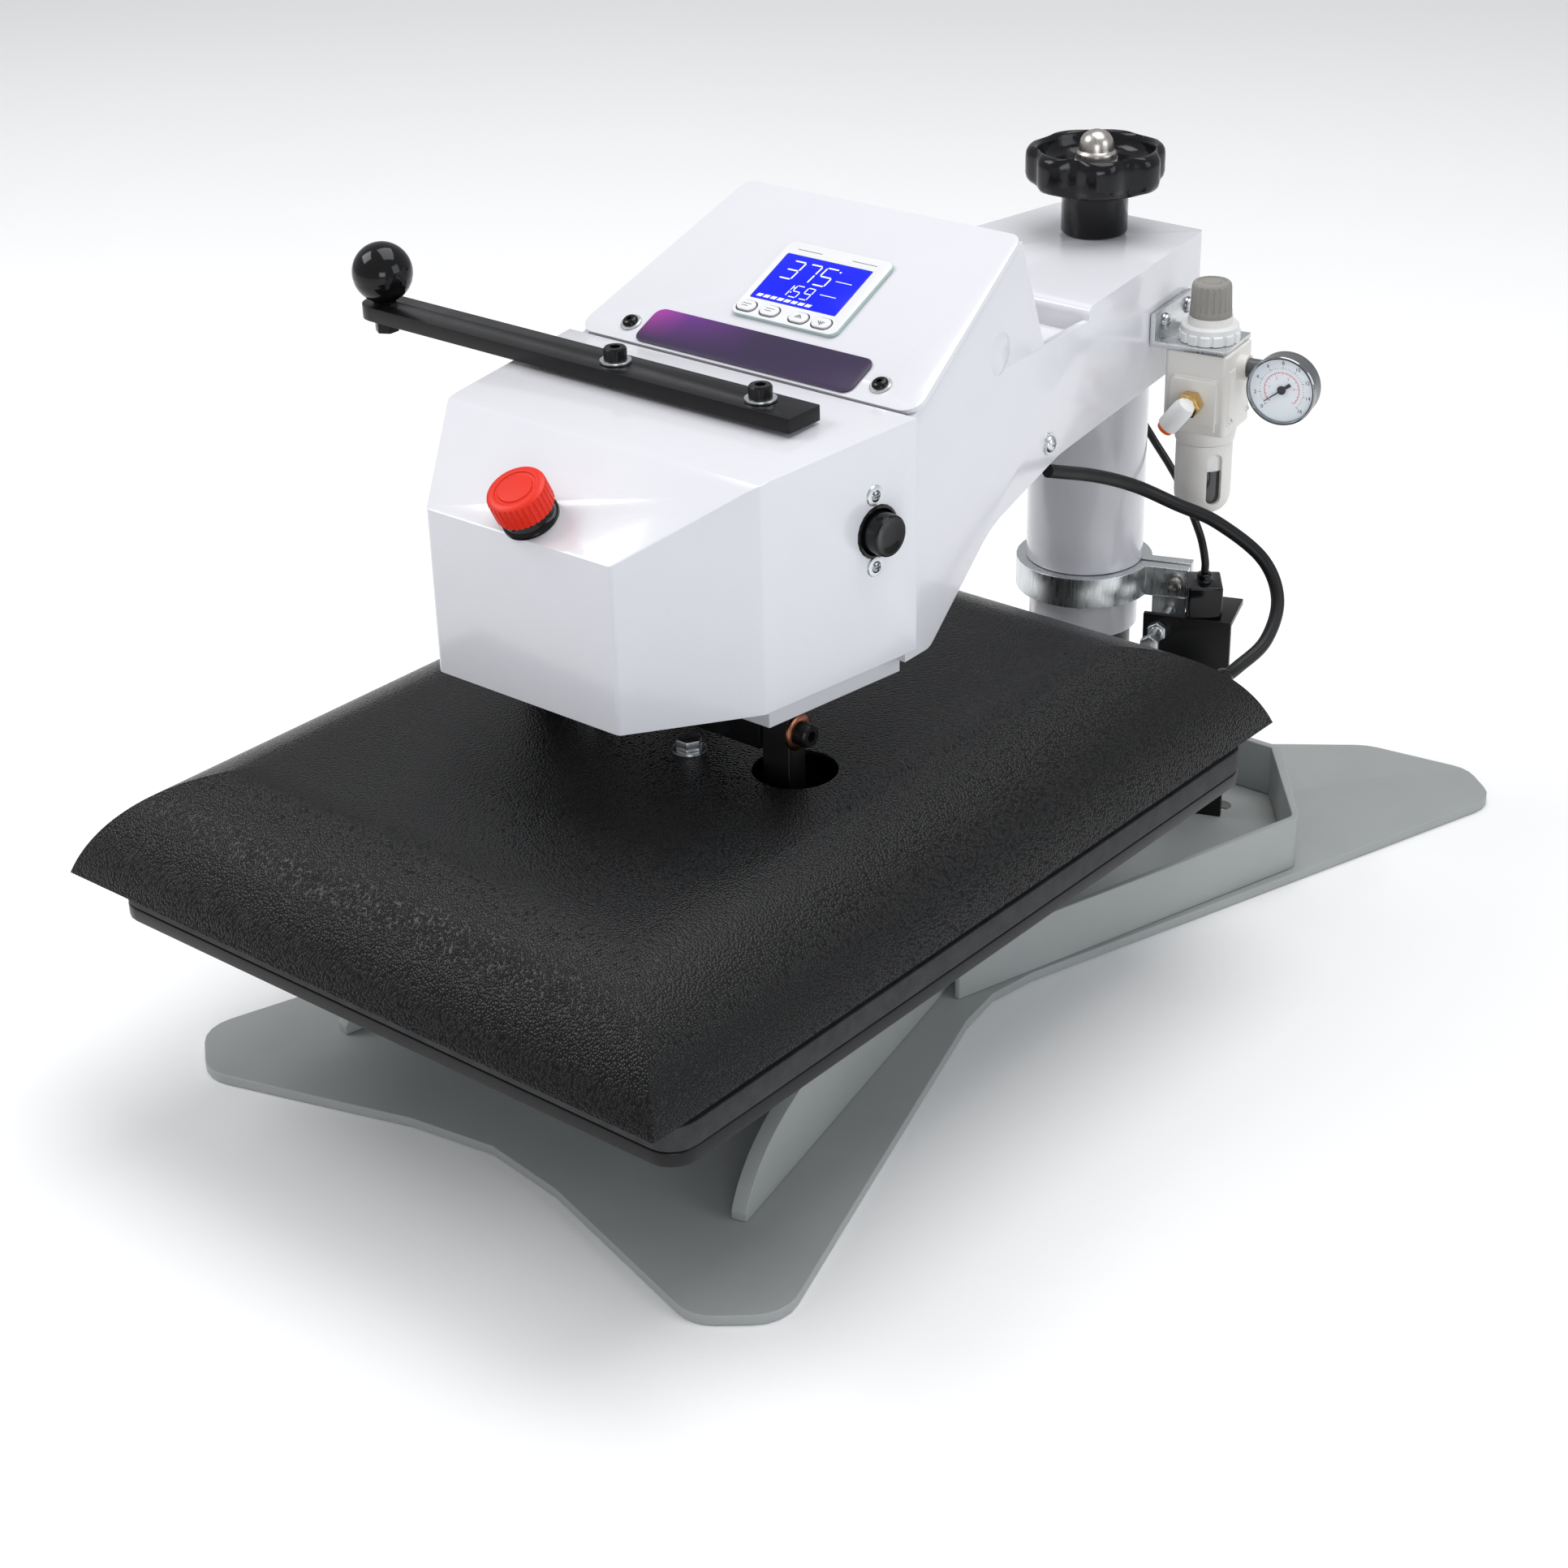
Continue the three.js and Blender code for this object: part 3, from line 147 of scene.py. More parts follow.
# ---- materials --------------------------------------------------------------------------------------
class Nodes:
    """A short way to write a node tree."""

    def __init__(self, name):
        self.material = bpy.data.materials.new(name)
        self.material.use_nodes = True
        self.tree = self.material.node_tree
        self.shader = self.tree.nodes["Principled BSDF"]
        self.place = self.add("ShaderNodeTexCoord").outputs["Object"]

    def link(self, value, socket):
        if isinstance(value, bpy.types.NodeSocket):
            self.tree.links.new(value, socket)
        elif isinstance(value, tuple) and len(value) == 3 and len(socket.default_value) == 4:
            socket.default_value = (*value, 1)
        else:
            socket.default_value = value

    def add(self, kind, **inputs):
        node = self.tree.nodes.new(kind)
        for key, value in inputs.items():
            self.link(value, node.inputs[key.replace("_", " ")])
        return node

    def set(self, **inputs):
        for key, value in inputs.items():
            self.link(value, self.shader.inputs[key.replace("_", " ")])

    def noise(self, scale, detail=3.0, vector=None):
        return self.add("ShaderNodeTexNoise", Scale=scale, Detail=detail,
                        Vector=vector or self.place).outputs["Fac"]

    def cells(self, scale, vector=None):
        return self.add("ShaderNodeTexVoronoi", Scale=scale,
                        Vector=vector or self.place).outputs["Distance"]

    def stretch(self, value, low, high, to_low=0.0, to_high=1.0):
        return self.add("ShaderNodeMapRange", Value=value, From_Min=low, From_Max=high,
                        To_Min=to_low, To_Max=to_high).outputs["Result"]

    def mix(self, factor, a, b):
        node = self.tree.nodes.new("ShaderNodeMix")
        node.data_type = "RGBA"
        for socket, value in zip((node.inputs[0], node.inputs[6], node.inputs[7]), (factor, a, b)):
            self.link(value, socket)
        return node.outputs[2]

    def axis(self, name):
        return self.add("ShaderNodeSeparateXYZ", Vector=self.place).outputs[name]

    def bump(self, height, strength, distance, below=None):
        node = self.add("ShaderNodeBump", Height=height, Strength=strength, Distance=distance)
        if below:
            self.tree.links.new(below, node.inputs["Normal"])
        return node.outputs["Normal"]


def shade(color, factor):
    return tuple(min(1.0, c * factor) for c in color)


def painted(name, color, rough, grain, depth, coat=0.0, vary=0.06, specular=0.5):
    """Powder coat or moulded plastic: a fine orange peel, faint mottling and uneven gloss."""
    n = Nodes(name)
    cloud = n.stretch(n.noise(18, 4), 0.3, 0.7)
    n.set(Base_Color=n.mix(cloud, shade(color, 1 - vary), shade(color, 1 + vary)))
    n.set(Roughness=n.stretch(n.noise(60), 0.3, 0.7, rough * 0.88, rough * 1.15))
    broad = n.bump(n.noise(grain * 0.24), 0.5, depth)
    n.set(Normal=n.bump(n.noise(grain, 2), 1.0, depth, broad))
    n.set(Coat_Weight=coat, Coat_Roughness=0.1, Specular_IOR_Level=specular)
    return n.material


def metal(name, color, rough, vary=0.06):
    """Plated or turned metal: fine directional lines, cloudy plating and duller patches."""
    n = Nodes(name)
    lines = n.add("ShaderNodeMapping", Vector=n.place, Scale=METAL_GRAIN).outputs["Vector"]
    fine = n.noise(1.0, 2, vector=lines)
    cloud = n.stretch(n.noise(40, 4), 0.35, 0.65)
    n.set(Metallic=1.0)
    n.set(Base_Color=n.mix(cloud, shade(color, 1 - vary), shade(color, 1 + vary)))
    n.set(Roughness=n.stretch(fine, 0.3, 0.7, rough * 0.8, rough * 1.25))
    n.set(Normal=n.bump(fine, 0.5, METAL_DEPTH))
    return n.material


def pebbled(name, dark, light, rough, size, depth):
    """Coarse powder coat: crowded rounded pebbles with a finer grit on them; the colour follows the pebble
    height as painted shade, darker in the hollows and lighter on the tops.
    """
    n = Nodes(name)
    pebble = n.cells(1 / size)
    pebble_height_and_shade = n.stretch(pebble, 0.1, 0.75, 1.0, 0.0)
    # painted shade and highlight: hollows between pebbles darker, pebble tops lighter, set by their height
    n.set(Base_Color=n.mix(pebble_height_and_shade, dark, light))
    n.set(Roughness=n.stretch(n.noise(45), 0.3, 0.7, rough * 0.95, rough * 1.06))
    n.set(Normal=n.bump(pebble_height_and_shade, 1.0, depth, n.bump(n.noise(2200), 0.5, depth * 0.2)))
    n.set(Specular_IOR_Level=0.22)
    return n.material


def silicone():
    """Charcoal sponge rubber with a pitted cut edge."""
    n = Nodes("silicone")
    pits = n.bump(n.noise(300, 4), 0.6, 0.0002)
    cloud = n.stretch(n.noise(120, 4), 0.3, 0.7)
    n.set(Base_Color=n.mix(cloud, (0.012, 0.012, 0.013), (0.026, 0.026, 0.028)), Roughness=0.7)
    n.set(Normal=n.bump(n.cells(900), 0.8, 0.0002, pits))
    return n.material


def lit_glass():
    """Backlit blue display: paler along its upper edge, with a faint cell grid under glass."""
    n = Nodes("lcd")
    height = n.stretch(n.axis("Z"), 0.4235, 0.4256)
    grid = n.stretch(n.cells(900), 0.2, 0.6, 0.0, 0.12)
    blue = n.mix(grid, (0.0, 0.006, 0.62), (0.0, 0.012, 0.75))
    glow = n.mix(height, blue, (0.02, 0.30, 0.85))
    n.set(Base_Color=glow, Roughness=0.3, Emission_Color=glow, Emission_Strength=0.35)
    n.set(Specular_IOR_Level=0.25)
    return n.material


def gradient_label():
    """Printed film: magenta at its left, violet, then near black, under a satin laminate."""
    n = Nodes("label_film")
    ramp = n.add("ShaderNodeValToRGB", Fac=n.stretch(n.axis("X"), -0.077, 0.074, 0.5, 1.5))
    magenta, violet, near_black = (0.40, 0.03, 0.36), (0.11, 0.012, 0.20), (0.020, 0.008, 0.045)
    elements = ramp.color_ramp.elements
    elements.remove(elements[1])
    elements[0].position, elements[0].color = 0.48, (*magenta, 1)
    for place, color in ((0.66, violet), (1.0, near_black)):
        elements.new(place).color = (*color, 1)
    edge = n.stretch(n.axis("Z"), 0.3865, 0.3965)
    n.set(Base_Color=n.mix(edge, (0.022, 0.008, 0.05), ramp.outputs["Color"]), Roughness=0.3)
    n.set(Normal=n.bump(n.noise(900), 0.2, 0.00001), Coat_Weight=0.15, Coat_Roughness=0.1)
    return n.material


WHITE = painted("white_enamel", (0.70, 0.70, 0.735), 0.2, 330, 0.00006, coat=0.5, vary=0.012)
GREY = painted("grey_enamel", (0.33, 0.345, 0.34), 0.42, 520, 0.00004, vary=0.03)
BLACK = painted("black_enamel", (0.006, 0.006, 0.0065), 0.3, 700, 0.00004, vary=0.2, specular=0.25)
BLACK_PLASTIC = painted("black_plastic", (0.005, 0.005, 0.0055), 0.1, 1500, 0.000003, vary=0.1, specular=0.3)
RED = painted("red_plastic", (0.72, 0.022, 0.006), 0.4, 900, 0.00001, vary=0.05, specular=0.3)
ZINC = metal("zinc", (0.68, 0.70, 0.71), 0.3, vary=0.04)
STEEL = metal("steel", (0.56, 0.53, 0.49), 0.3)
CHROME = metal("dark_chrome", (0.30, 0.32, 0.34), 0.1)
ALUMINIUM = metal("aluminium", (0.07, 0.07, 0.075), 0.45)
COPPER = metal("copper_bolt", (0.30, 0.12, 0.07), 0.28)
BRASS = metal("brass", (0.72, 0.47, 0.16), 0.2)
CAST = painted("cast_black", (0.006, 0.006, 0.007), 0.16, 240, 0.00012, vary=0.2, specular=0.3)
IVORY = painted("ivory_plastic", (0.75, 0.73, 0.69), 0.36, 800, 0.00002, vary=0.03)
PALE = painted("pale_plastic", (0.76, 0.76, 0.75), 0.3, 900, 0.00001, vary=0.03)
KNOB_GREY = painted("grey_plastic", (0.245, 0.235, 0.215), 0.5, 700, 0.00003, vary=0.06)
KEYS = painted("key_plastic", (0.74, 0.74, 0.75), 0.32, 900, 0.00001, vary=0.02)
INK = painted("ink", (0.05, 0.05, 0.055), 0.5, 900, 0.00001, vary=0.1)
GLASS_EDGE = painted("overlay_edge", (0.42, 0.55, 0.53), 0.15, 900, 0.00001, coat=0.5, vary=0.05)
DIGITS = painted("lcd_digits", (0.92, 0.96, 1.0), 0.4, 900, 0.00001, vary=0.01)
ROSE = painted("dial_rose", (0.75, 0.16, 0.19), 0.5, 900, 0.00001, vary=0.05)
ORANGE = painted("orange_ring", (0.80, 0.12, 0.01), 0.35, 900, 0.00001, vary=0.05)
LIQUID = painted("dark_window", (0.03, 0.03, 0.03), 0.08, 400, 0.00001, coat=0.6, vary=0.4)
JACKET = painted("cable_jacket", (0.007, 0.007, 0.0075), 0.38, 600, 0.00003, vary=0.25, specular=0.3)
CASE = painted("gauge_case", (0.085, 0.085, 0.085), 0.3, 500, 0.00002, vary=0.05)
DARK = painted("dark_plate", (0.01, 0.01, 0.0105), 0.5, 500, 0.00004, vary=0.15)
TEXTURED = pebbled("black_texture", (0.004, 0.004, 0.0042), (0.009, 0.009, 0.0092), 0.24, 0.0014, 0.0003)
SILICONE = silicone()
LCD_GLASS = lit_glass()
LABEL_FILM = gradient_label()

# the look of each slot that build() gives to a rounded CAD node
PAINT = {
    "grey_enamel": GREY, "white_enamel": WHITE, "black_enamel": BLACK, "dark_plate": DARK,
    "silicone": SILICONE, "zinc": ZINC, "steel": STEEL, "aluminium": ALUMINIUM,
    "black_plastic": BLACK_PLASTIC, "label": LABEL_FILM,
}


# ---- shapes, in millimetres -------------------------------------------------------------------------
def shape(points, faces):
    bm = bmesh.new()
    verts = [bm.verts.new(p) for p in points]
    for face in faces:
        bm.faces.new([verts[i] for i in face])
    bmesh.ops.recalc_face_normals(bm, faces=bm.faces)
    return bm


def lathe(outline, steps=64, wave=None):
    """Turned about z from (radius, z) points; an outline off the axis at both ends closes on itself.
    wave(angle, radius, z) gives the radius there."""
    points, rings = [], []
    for radius, z in outline:
        count = steps if radius > 1e-6 else 1
        ring = []
        for k in range(count):
            angle = 2 * math.pi * k / steps
            r = wave(angle, radius, z) if wave else radius
            ring.append(len(points))
            points.append((r * math.cos(angle), r * math.sin(angle), z))
        rings.append(ring)
    if len(rings[0]) > 1 and len(rings[-1]) > 1:
        rings.append(rings[0])
    faces = []
    for low, high in zip(rings, rings[1:]):
        for k in range(steps):
            m = (k + 1) % steps
            quad = [low[k % len(low)], low[m % len(low)], high[m % len(high)], high[k % len(high)]]
            corners = list(dict.fromkeys(quad))
            if len(corners) > 2:
                faces.append(corners)
    return shape(points, faces)


def rod(radius, z0, z1, steps=48):
    return lathe([(0, z0), (radius, z0), (radius, z1), (0, z1)], steps)


def pipe(outer, inner, z0, z1, steps=96):
    return lathe([(inner, z0), (outer, z0), (outer, z1), (inner, z1)], steps)


def prism(outline, z0, z1):
    count = len(outline)
    points = [(x, y, z0) for x, y in outline] + [(x, y, z1) for x, y in outline]
    faces = [list(range(count)), list(range(count, 2 * count))]
    for k in range(count):
        m = (k + 1) % count
        faces.append([k, m, m + count, k + count])
    return shape(points, faces)


def panel(x0, x1, y0, y1, radius=0.0, z0=0.0, z1=1.0):
    corners = [(x1, y1, 0), (x0, y1, 90), (x0, y0, 180), (x1, y0, 270)]
    outline = []
    for x, y, start in corners:
        cx = x - radius if x == x1 else x + radius
        cy = y - radius if y == y1 else y + radius
        for k in range(CORNER_STEPS + 1 if radius else 1):
            angle = math.radians(start + 90 * k / CORNER_STEPS)
            outline.append((cx + radius * math.cos(angle), cy + radius * math.sin(angle)))
    return prism(outline, z0, z1)


def polygon(sides, radius, z0, z1):
    angles = [2 * math.pi * k / sides for k in range(sides)]
    return prism([(radius * math.cos(a), radius * math.sin(a)) for a in angles], z0, z1)


def moved(bm, matrix):
    bmesh.ops.transform(bm, matrix=matrix, verts=bm.verts)
    return bm


def eased(bm, width, segments=3, angle=30):
    """Rounds every edge sharper than angle."""
    limit = math.radians(angle)
    edges = [e for e in bm.edges if len(e.link_faces) == 2 and e.calc_face_angle(0) > limit]
    bmesh.ops.bevel(bm, geom=edges, offset=width, segments=segments, profile=0.5,
                    affect="EDGES", clamp_overlap=True)
    return bm


def carved(bm, *cutters):
    """bm with the cutters taken out of it."""
    base = loose(bm)
    for cutter in cutters:
        tool = loose(cutter)
        modifier = base.modifiers.new("cut", "BOOLEAN")
        modifier.operation, modifier.solver, modifier.object = "DIFFERENCE", "EXACT", tool
        graph = bpy.context.evaluated_depsgraph_get()
        mesh = bpy.data.meshes.new_from_object(base.evaluated_get(graph))
        base.modifiers.clear()
        base.data = mesh
        bpy.data.objects.remove(tool)
    result = bmesh.new()
    result.from_mesh(base.data)
    bpy.data.objects.remove(base)
    bmesh.ops.remove_doubles(result, verts=result.verts, dist=1e-4)
    return result


def loose(bm):
    mesh = bpy.data.meshes.new("loose")
    bm.to_mesh(mesh)
    bm.free()
    obj = bpy.data.objects.new("loose", mesh)
    bpy.context.scene.collection.objects.link(obj)
    return obj


def tube(path, radius, sides=20):
    """A round tube along closely spaced points."""
    path = [Vector(p) for p in path]
    points, faces = [], []
    side = Vector((0, 0, 1)).cross(path[1] - path[0]).normalized()
    for i, place in enumerate(path):
        along = (path[min(i + 1, len(path) - 1)] - path[max(i - 1, 0)]).normalized()
        side = (side - along * side.dot(along)).normalized()
        other = along.cross(side)
        for k in range(sides):
            angle = 2 * math.pi * k / sides
            points.append(place + radius * (math.cos(angle) * side + math.sin(angle) * other))
    for i in range(len(path) - 1):
        for k in range(sides):
            m = (k + 1) % sides
            faces.append([i * sides + k, i * sides + m, (i + 1) * sides + m, (i + 1) * sides + k])
    faces.append(list(range(sides)))
    faces.append([(len(path) - 1) * sides + k for k in range(sides)])
    return shape(points, faces)


def spline(points, per_span=12):
    """Points close together on a smooth curve through the given ones."""
    points = [Vector(p) for p in points]
    ends = [2 * points[0] - points[1], *points, 2 * points[-1] - points[-2]]
    out = []
    for a, b, c, d in zip(ends, ends[1:], ends[2:], ends[3:]):
        for k in range(per_span):
            t = k / per_span
            out.append(0.5 * (2 * b + (c - a) * t + (2 * a - 5 * b + 4 * c - d) * t * t
                              + (3 * b - a - 3 * c + d) * t * t * t))
    return [*out, points[-1]]


def node_shape(node):
    """The CAD node's own mesh, with its flat faces merged."""
    bm = bmesh.new()
    bm.from_mesh(NODES[node].data)
    bmesh.ops.scale(bm, vec=(1 / MM,) * 3, verts=bm.verts)
    bmesh.ops.remove_doubles(bm, verts=bm.verts, dist=1e-3)
    bmesh.ops.dissolve_limit(bm, angle_limit=math.radians(1), verts=bm.verts, edges=bm.edges)
    return bm


# ---- objects ----------------------------------------------------------------------------------------
def finished(name, pieces, place=Matrix.Identity(4), smooth=SMOOTH):
    """One object from (shape, material) pairs drawn in the frame of place."""
    whole = bpy.data.meshes.new(name)
    merged = bmesh.new()
    for index, (bm, material) in enumerate(pieces):
        for face in bm.faces:
            face.material_index = index
        part = bpy.data.meshes.new("part")
        bm.to_mesh(part)
        bm.free()
        merged.from_mesh(part)
        bpy.data.meshes.remove(part)
        whole.materials.append(material)
    bmesh.ops.transform(merged, matrix=Matrix.Scale(MM, 4) @ place, verts=merged.verts)
    merged.to_mesh(whole)
    merged.free()
    obj = bpy.data.objects.new(name, whole)
    bpy.context.scene.collection.objects.link(obj)
    whole.shade_smooth()
    whole.set_sharp_from_angle(angle=math.radians(smooth))
    return obj


def stand_in(node, pieces, place=Matrix.Identity(4), smooth=SMOOTH):
    """The pieces ride on the CAD node's body and are shown in its place."""
    obj = finished("v_" + node, pieces, place, smooth)
    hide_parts(node)
    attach(obj, NODES[node]["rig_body"])
    return obj


def extra(name, body, pieces, place=Matrix.Identity(4), smooth=SMOOTH):
    """A small piece of hardware that the CAD leaves to the looks."""
    obj = finished(name, pieces, place, smooth)
    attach(obj, body)
    return obj


def socket_cap(radius, height):
    """A socket head cap screw's head, knurled, on z = 0."""
    def knurl(angle, r, z):
        return r - (0.12 if math.cos(30 * angle) < 0 else 0) if 0.6 < z < height - 0.9 else r
    side = [(0, 0), (radius, 0), (radius, 0.7), (radius, height - 1), (radius - 0.8, height),
            (0, height)]
    return carved(lathe(side, 120, knurl), polygon(6, radius * 0.5, height * 0.45, height + 1))


def washer(radius, bore, thick, z=0.0):
    return eased(pipe(radius, bore, z, z + thick, 64), 0.25, 2)


def pan_head(radius, height):
    """A domed screw head with a cross recess, on z = 0."""
    steps = 8
    dome = [(radius * math.cos(math.pi / 2 * k / steps), height * math.sin(math.pi / 2 * k / steps))
            for k in range(steps)]
    head = lathe([(0, 0), *dome, (0, height)], 40)
    long, thin = radius * 0.55, radius * 0.13
    return carved(head, panel(-long, long, -thin, thin, 0, height * 0.5, height + 1),
                  panel(-thin, thin, -long, long, 0, height * 0.5, height + 1))


def hex_bolt(radius, height, ring):
    """A hexagon head on a plain washer, on z = 0."""
    return [(washer(ring, 3, 1.6), ZINC), (eased(polygon(6, radius, 1.6, 1.6 + height), 0.5, 2), ZINC)]


# ---- platen and shroud ------------------------------------------------------------------------------
def shroud_loops(wall, steps=32):
    """Rectangles from the rim up the rolled sides to the flat top."""
    half_x = PLATEN_X / 2 + RIM_SIDE - wall
    half_y = PLATEN_Y / 2 + RIM_END - wall
    start = math.radians(SHROUD_START)
    loops = []
    for k in range(steps + 1):
        slope = start * (1 - k / steps)
        inset = SHROUD_R * (math.sin(start) - math.sin(slope))
        rise = SHROUD_H * (math.cos(slope) - math.cos(start)) / (1 - math.cos(start))
        z = max(RIM_Z, RIM_Z + rise - wall)
        x, y = half_x - inset, half_y - inset
        middle = SHROUD_SHIFT - REACH
        loops.append([(x, middle - y, z), (x, middle + y, z), (-x, middle + y, z), (-x, middle - y, z)])
    return loops


def shroud():
    outer, inner = shroud_loops(0), shroud_loops(SHEET)
    points, faces = [], []
    for loops in (outer, inner):
        start = len(points)
        points += [p for loop in loops for p in loop]
        for i in range(len(loops) - 1):
            for k in range(4):
                m = (k + 1) % 4
                a = start + 4 * i
                faces.append([a + k, a + m, a + 4 + m, a + 4 + k])
        faces.append([start + 4 * (len(loops) - 1) + k for k in range(4)])
    for k in range(4):
        m, shift = (k + 1) % 4, 4 * len(outer)
        faces.append([k, m, m + shift, k + shift])
    shell = shape(points, faces)
    low, high = SHROUD_TOP - 10, SHROUD_TOP + 10
    cutters = [moved(rod(HOLE_R, low, high, 96), at(side * HOLE_AT[0], HOLE_AT[1], 0))
               for side in (1, -1)]
    entry = moved(rod(5.5, -30, 30), facing(GLAND_AT, (0, 1, 0)))
    shell = eased(carved(shell, *cutters, entry), 0.9, 3, 24)
    stand_in("platen_shroud", [(shell, TEXTURED)], smooth=14)
    for x in (SHROUD_BOLT_X, -SHROUD_BOLT_X):
        for y, name in SHROUD_BOLT_Y:
            extra(f"shroud_bolt_{name}_{'right' if x > 0 else 'left'}", "platen",
                  hex_bolt(7.4, 6.2, 9.4), at(x, y, SHROUD_TOP))


def press_parts():
    for side, name in ((1, "right"), (-1, "left")):
        place = facing((side * PIVOT[0], PIVOT[1], PIVOT[2]), (side, 0, 0))
        disc = eased(lathe([(4.3, 9.3), (10, 9.3), (10, 10.6), (8.4, 11.5), (4.3, 11.5)], 64), 0.3, 2)
        shank = rod(4.2, 52 - PIVOT[0], 12, 24)
        head = moved(socket_cap(6.5, 7.5), at(0, 0, 11.5))
        stand_in(f"clevis_bolt_{name}", [(disc, COPPER), (head, BLACK), (shank, STEEL)], place)


# ---- post, sleeve and collar ------------------------------------------------------------------------
def column():
    foot = [(0, 6.3), (41, 6.3), (41, 17), (40, 18), (POST_R + 3, 18), (POST_R, 21)]
    post = [(POST_R, POST_TOP), (POST_BORE, POST_TOP), (POST_BORE, 40), (0, 40)]
    stand_in("fixed_post", [(lathe([*foot, *post], 96), BLACK)])
    stand_in("swing_sleeve", [(eased(pipe(SLEEVE_R, POST_R + 0.3, SLEEVE_Z, POST_TOP), 0.6), WHITE)])
    stand_in("post_tube", [(eased(pipe(TUBE_R, SLEEVE_R + 0.3, TUBE_Z, TUBE_TOP), 0.6), WHITE)])


# ---- swing arm --------------------------------------------------------------------------------------
def arm():
    """The welded arm: its block over the post has broad rounded edges, its side plates fine ones."""
    block_top, block_front, screw_clear = 369.5, -124, 20
    bm = node_shape("swing_arm")

    def on_block(edge):
        return all(v.co.z > block_top and v.co.y > block_front
                   and math.hypot(v.co.x, v.co.y) > screw_clear for v in edge.verts)
    broad = [e for e in bm.edges if len(e.link_faces) == 2
             and e.calc_face_angle(0) > math.radians(40) and on_block(e)]
    bmesh.ops.bevel(bm, geom=broad, offset=6, segments=6, profile=0.5, affect="EDGES",
                    clamp_overlap=True)
    stand_in("swing_arm", [(eased(bm, 1.0, 3, 40), WHITE)])


# ---- height wheel -----------------------------------------------------------------------------------
def scalloped(angle, radius, z):
    """Seven broad lobes with a narrower hollow between each pair."""
    hollow = (0.5 - 0.5 * math.cos(7 * angle)) ** 1.6
    share = min(1.0, max(0.0, (radius - 36) / 6))
    return radius - 6.0 * hollow * share


def height_wheel():
    hub = [(9, 0), (18.8, 0), (20.3, 1.5), (20.3, 23), (21.3, 26.5), (24, 28.4)]
    under = [(30, 29), (36, 29.3), (40.6, 30.8), (42.4, 33), (43, 36)]
    rim = [(43, 46), (42.6, 49), (41.4, 51.2), (39.8, 52.6), (38, 53), (36.4, 52.6), (35.3, 51.4), (34.8, 49)]
    dish = [(34, 45.6), (32, 42.6), (28.5, 40.8), (24, 40.1), (15, 40), (9, 40)]
    body = lathe([*hub, *under, *rim, *dish], 168, scalloped)
    stand_in("handwheel", [(body, CAST)], at(0, 0, WHEEL_Z), smooth=50)
    nut_z = WHEEL_Z + 40.3
    base = carved(polygon(6, 15, 0, 5), rod(9, -1, 6))
    dome = [(9, 4.9), (12.5, 4.9), (12.5, 8.4), (12.1, 9.2), (10.9, 10.4), (10.6, 12), (10.3, 14.5), (9.6, 17),
            (8, 19.4), (5.6, 21.2), (3, 22.1), (0, 22.3), (0, 9), (9, 9)]
    stand_in("wheel_nut", [(eased(base, 0.6, 2), STEEL), (lathe(dome, 72), STEEL)], at(0, 0, nut_z))


# ---- console ----------------------------------------------------------------------------------------
SLOPE = math.degrees(math.atan2(CONSOLE_HEAD[1] - CONSOLE_FOOT[1], CONSOLE_HEAD[0] - CONSOLE_FOOT[0]))
CONSOLE = at(0, *CONSOLE_FOOT) @ turn("X", SLOPE)
OVERLAY, OVERLAY_T = (-33, 40, 36, 97), 2.4
LCD = (-28, 31, 50, 87)
KEY_X, KEY_S, KEY_HALF = (-24.7, -8.5, 11.6, 27.3), 42.6, (6, 3.6)
SEGMENTS = {"0": "abcdef", "1": "bc", "2": "abdeg", "3": "abcdg", "4": "bcfg", "5": "acdfg",
            "6": "acdefg", "7": "abc", "8": "abcdefg", "9": "abcdfg"}


def digit(figure, x, y, width, height, thick, z):
    """Seven-segment figure as thin bars, leaning a little to the right."""
    w, h, lean = width / 2, height / 2, 0.1
    ends = {"a": ((0, 2), (1, 2)), "b": ((1, 1), (1, 2)), "c": ((1, 0), (1, 1)), "d": ((0, 0), (1, 0)),
            "e": ((0, 0), (0, 1)), "f": ((0, 1), (0, 2)), "g": ((0, 1), (1, 1))}
    bars = []
    for name in SEGMENTS[figure]:
        (i0, j0), (i1, j1) = ends[name]
        a = Vector((x + 2 * w * i0 + lean * h * j0, y + h * j0))
        b = Vector((x + 2 * w * i1 + lean * h * j1, y + h * j1))
        along = (b - a).normalized()
        a, b = a + along * thick * 0.75, b - along * thick * 0.75
        across = Vector((-along.y, along.x)) * thick / 2
        tip = along * thick / 2
        corners = [a - tip, a - across, b - across, b + tip, b + across, a + across]
        bars.append(prism(corners, z, z + MARK))
    return bars


def key_opening(x, z0, z1):
    """The rounded hole that a key stands in."""
    return panel(x - 6.3, x + 6.3, KEY_S - 3.9, KEY_S + 3.9, 3.89, z0, z1)


def openings():
    """Fresh cutters for the display window and the key holes."""
    window = panel(LCD[0] - 0.3, LCD[1] + 0.3, LCD[2] - 0.3, LCD[3] + 0.3, 1, 1.1, 9)
    return [window, *[key_opening(x, 0, 9) for x in KEY_X]]


def lcd_marks(top):
    """The lit figures, bars and dashes of the display."""
    marks = []
    for figure, x in zip("375", (-21, -9.5, 2)):
        marks += digit(figure, x, 68.5, 8, 14, 1.0, top)
    for figure, x in zip("159", (-13, -6, 1.6)):
        marks += digit(figure, x, 56.2, 5, 9, 0.7, top)
    for y in (59, 62.6):
        marks.append(panel(-6.6, -5.8, y, y + 0.9, 0, top, top + MARK))
    for k in range(8):
        x = -25 + 4.8 * k
        marks.append(prism([(x, 51.6), (x + 3.6, 51.6), (x + 4.4, 53.8), (x + 0.8, 53.8)],
                           top, top + MARK))
    for x, s in ((14.5, 74), (12, 62.2)):
        marks.append(panel(x, x + 11, s, s + 0.5, 0, top, top + MARK))
    marks.append(panel(12.4, 13.6, 80.6, 81.8, 0.5, top, top + MARK))
    return marks


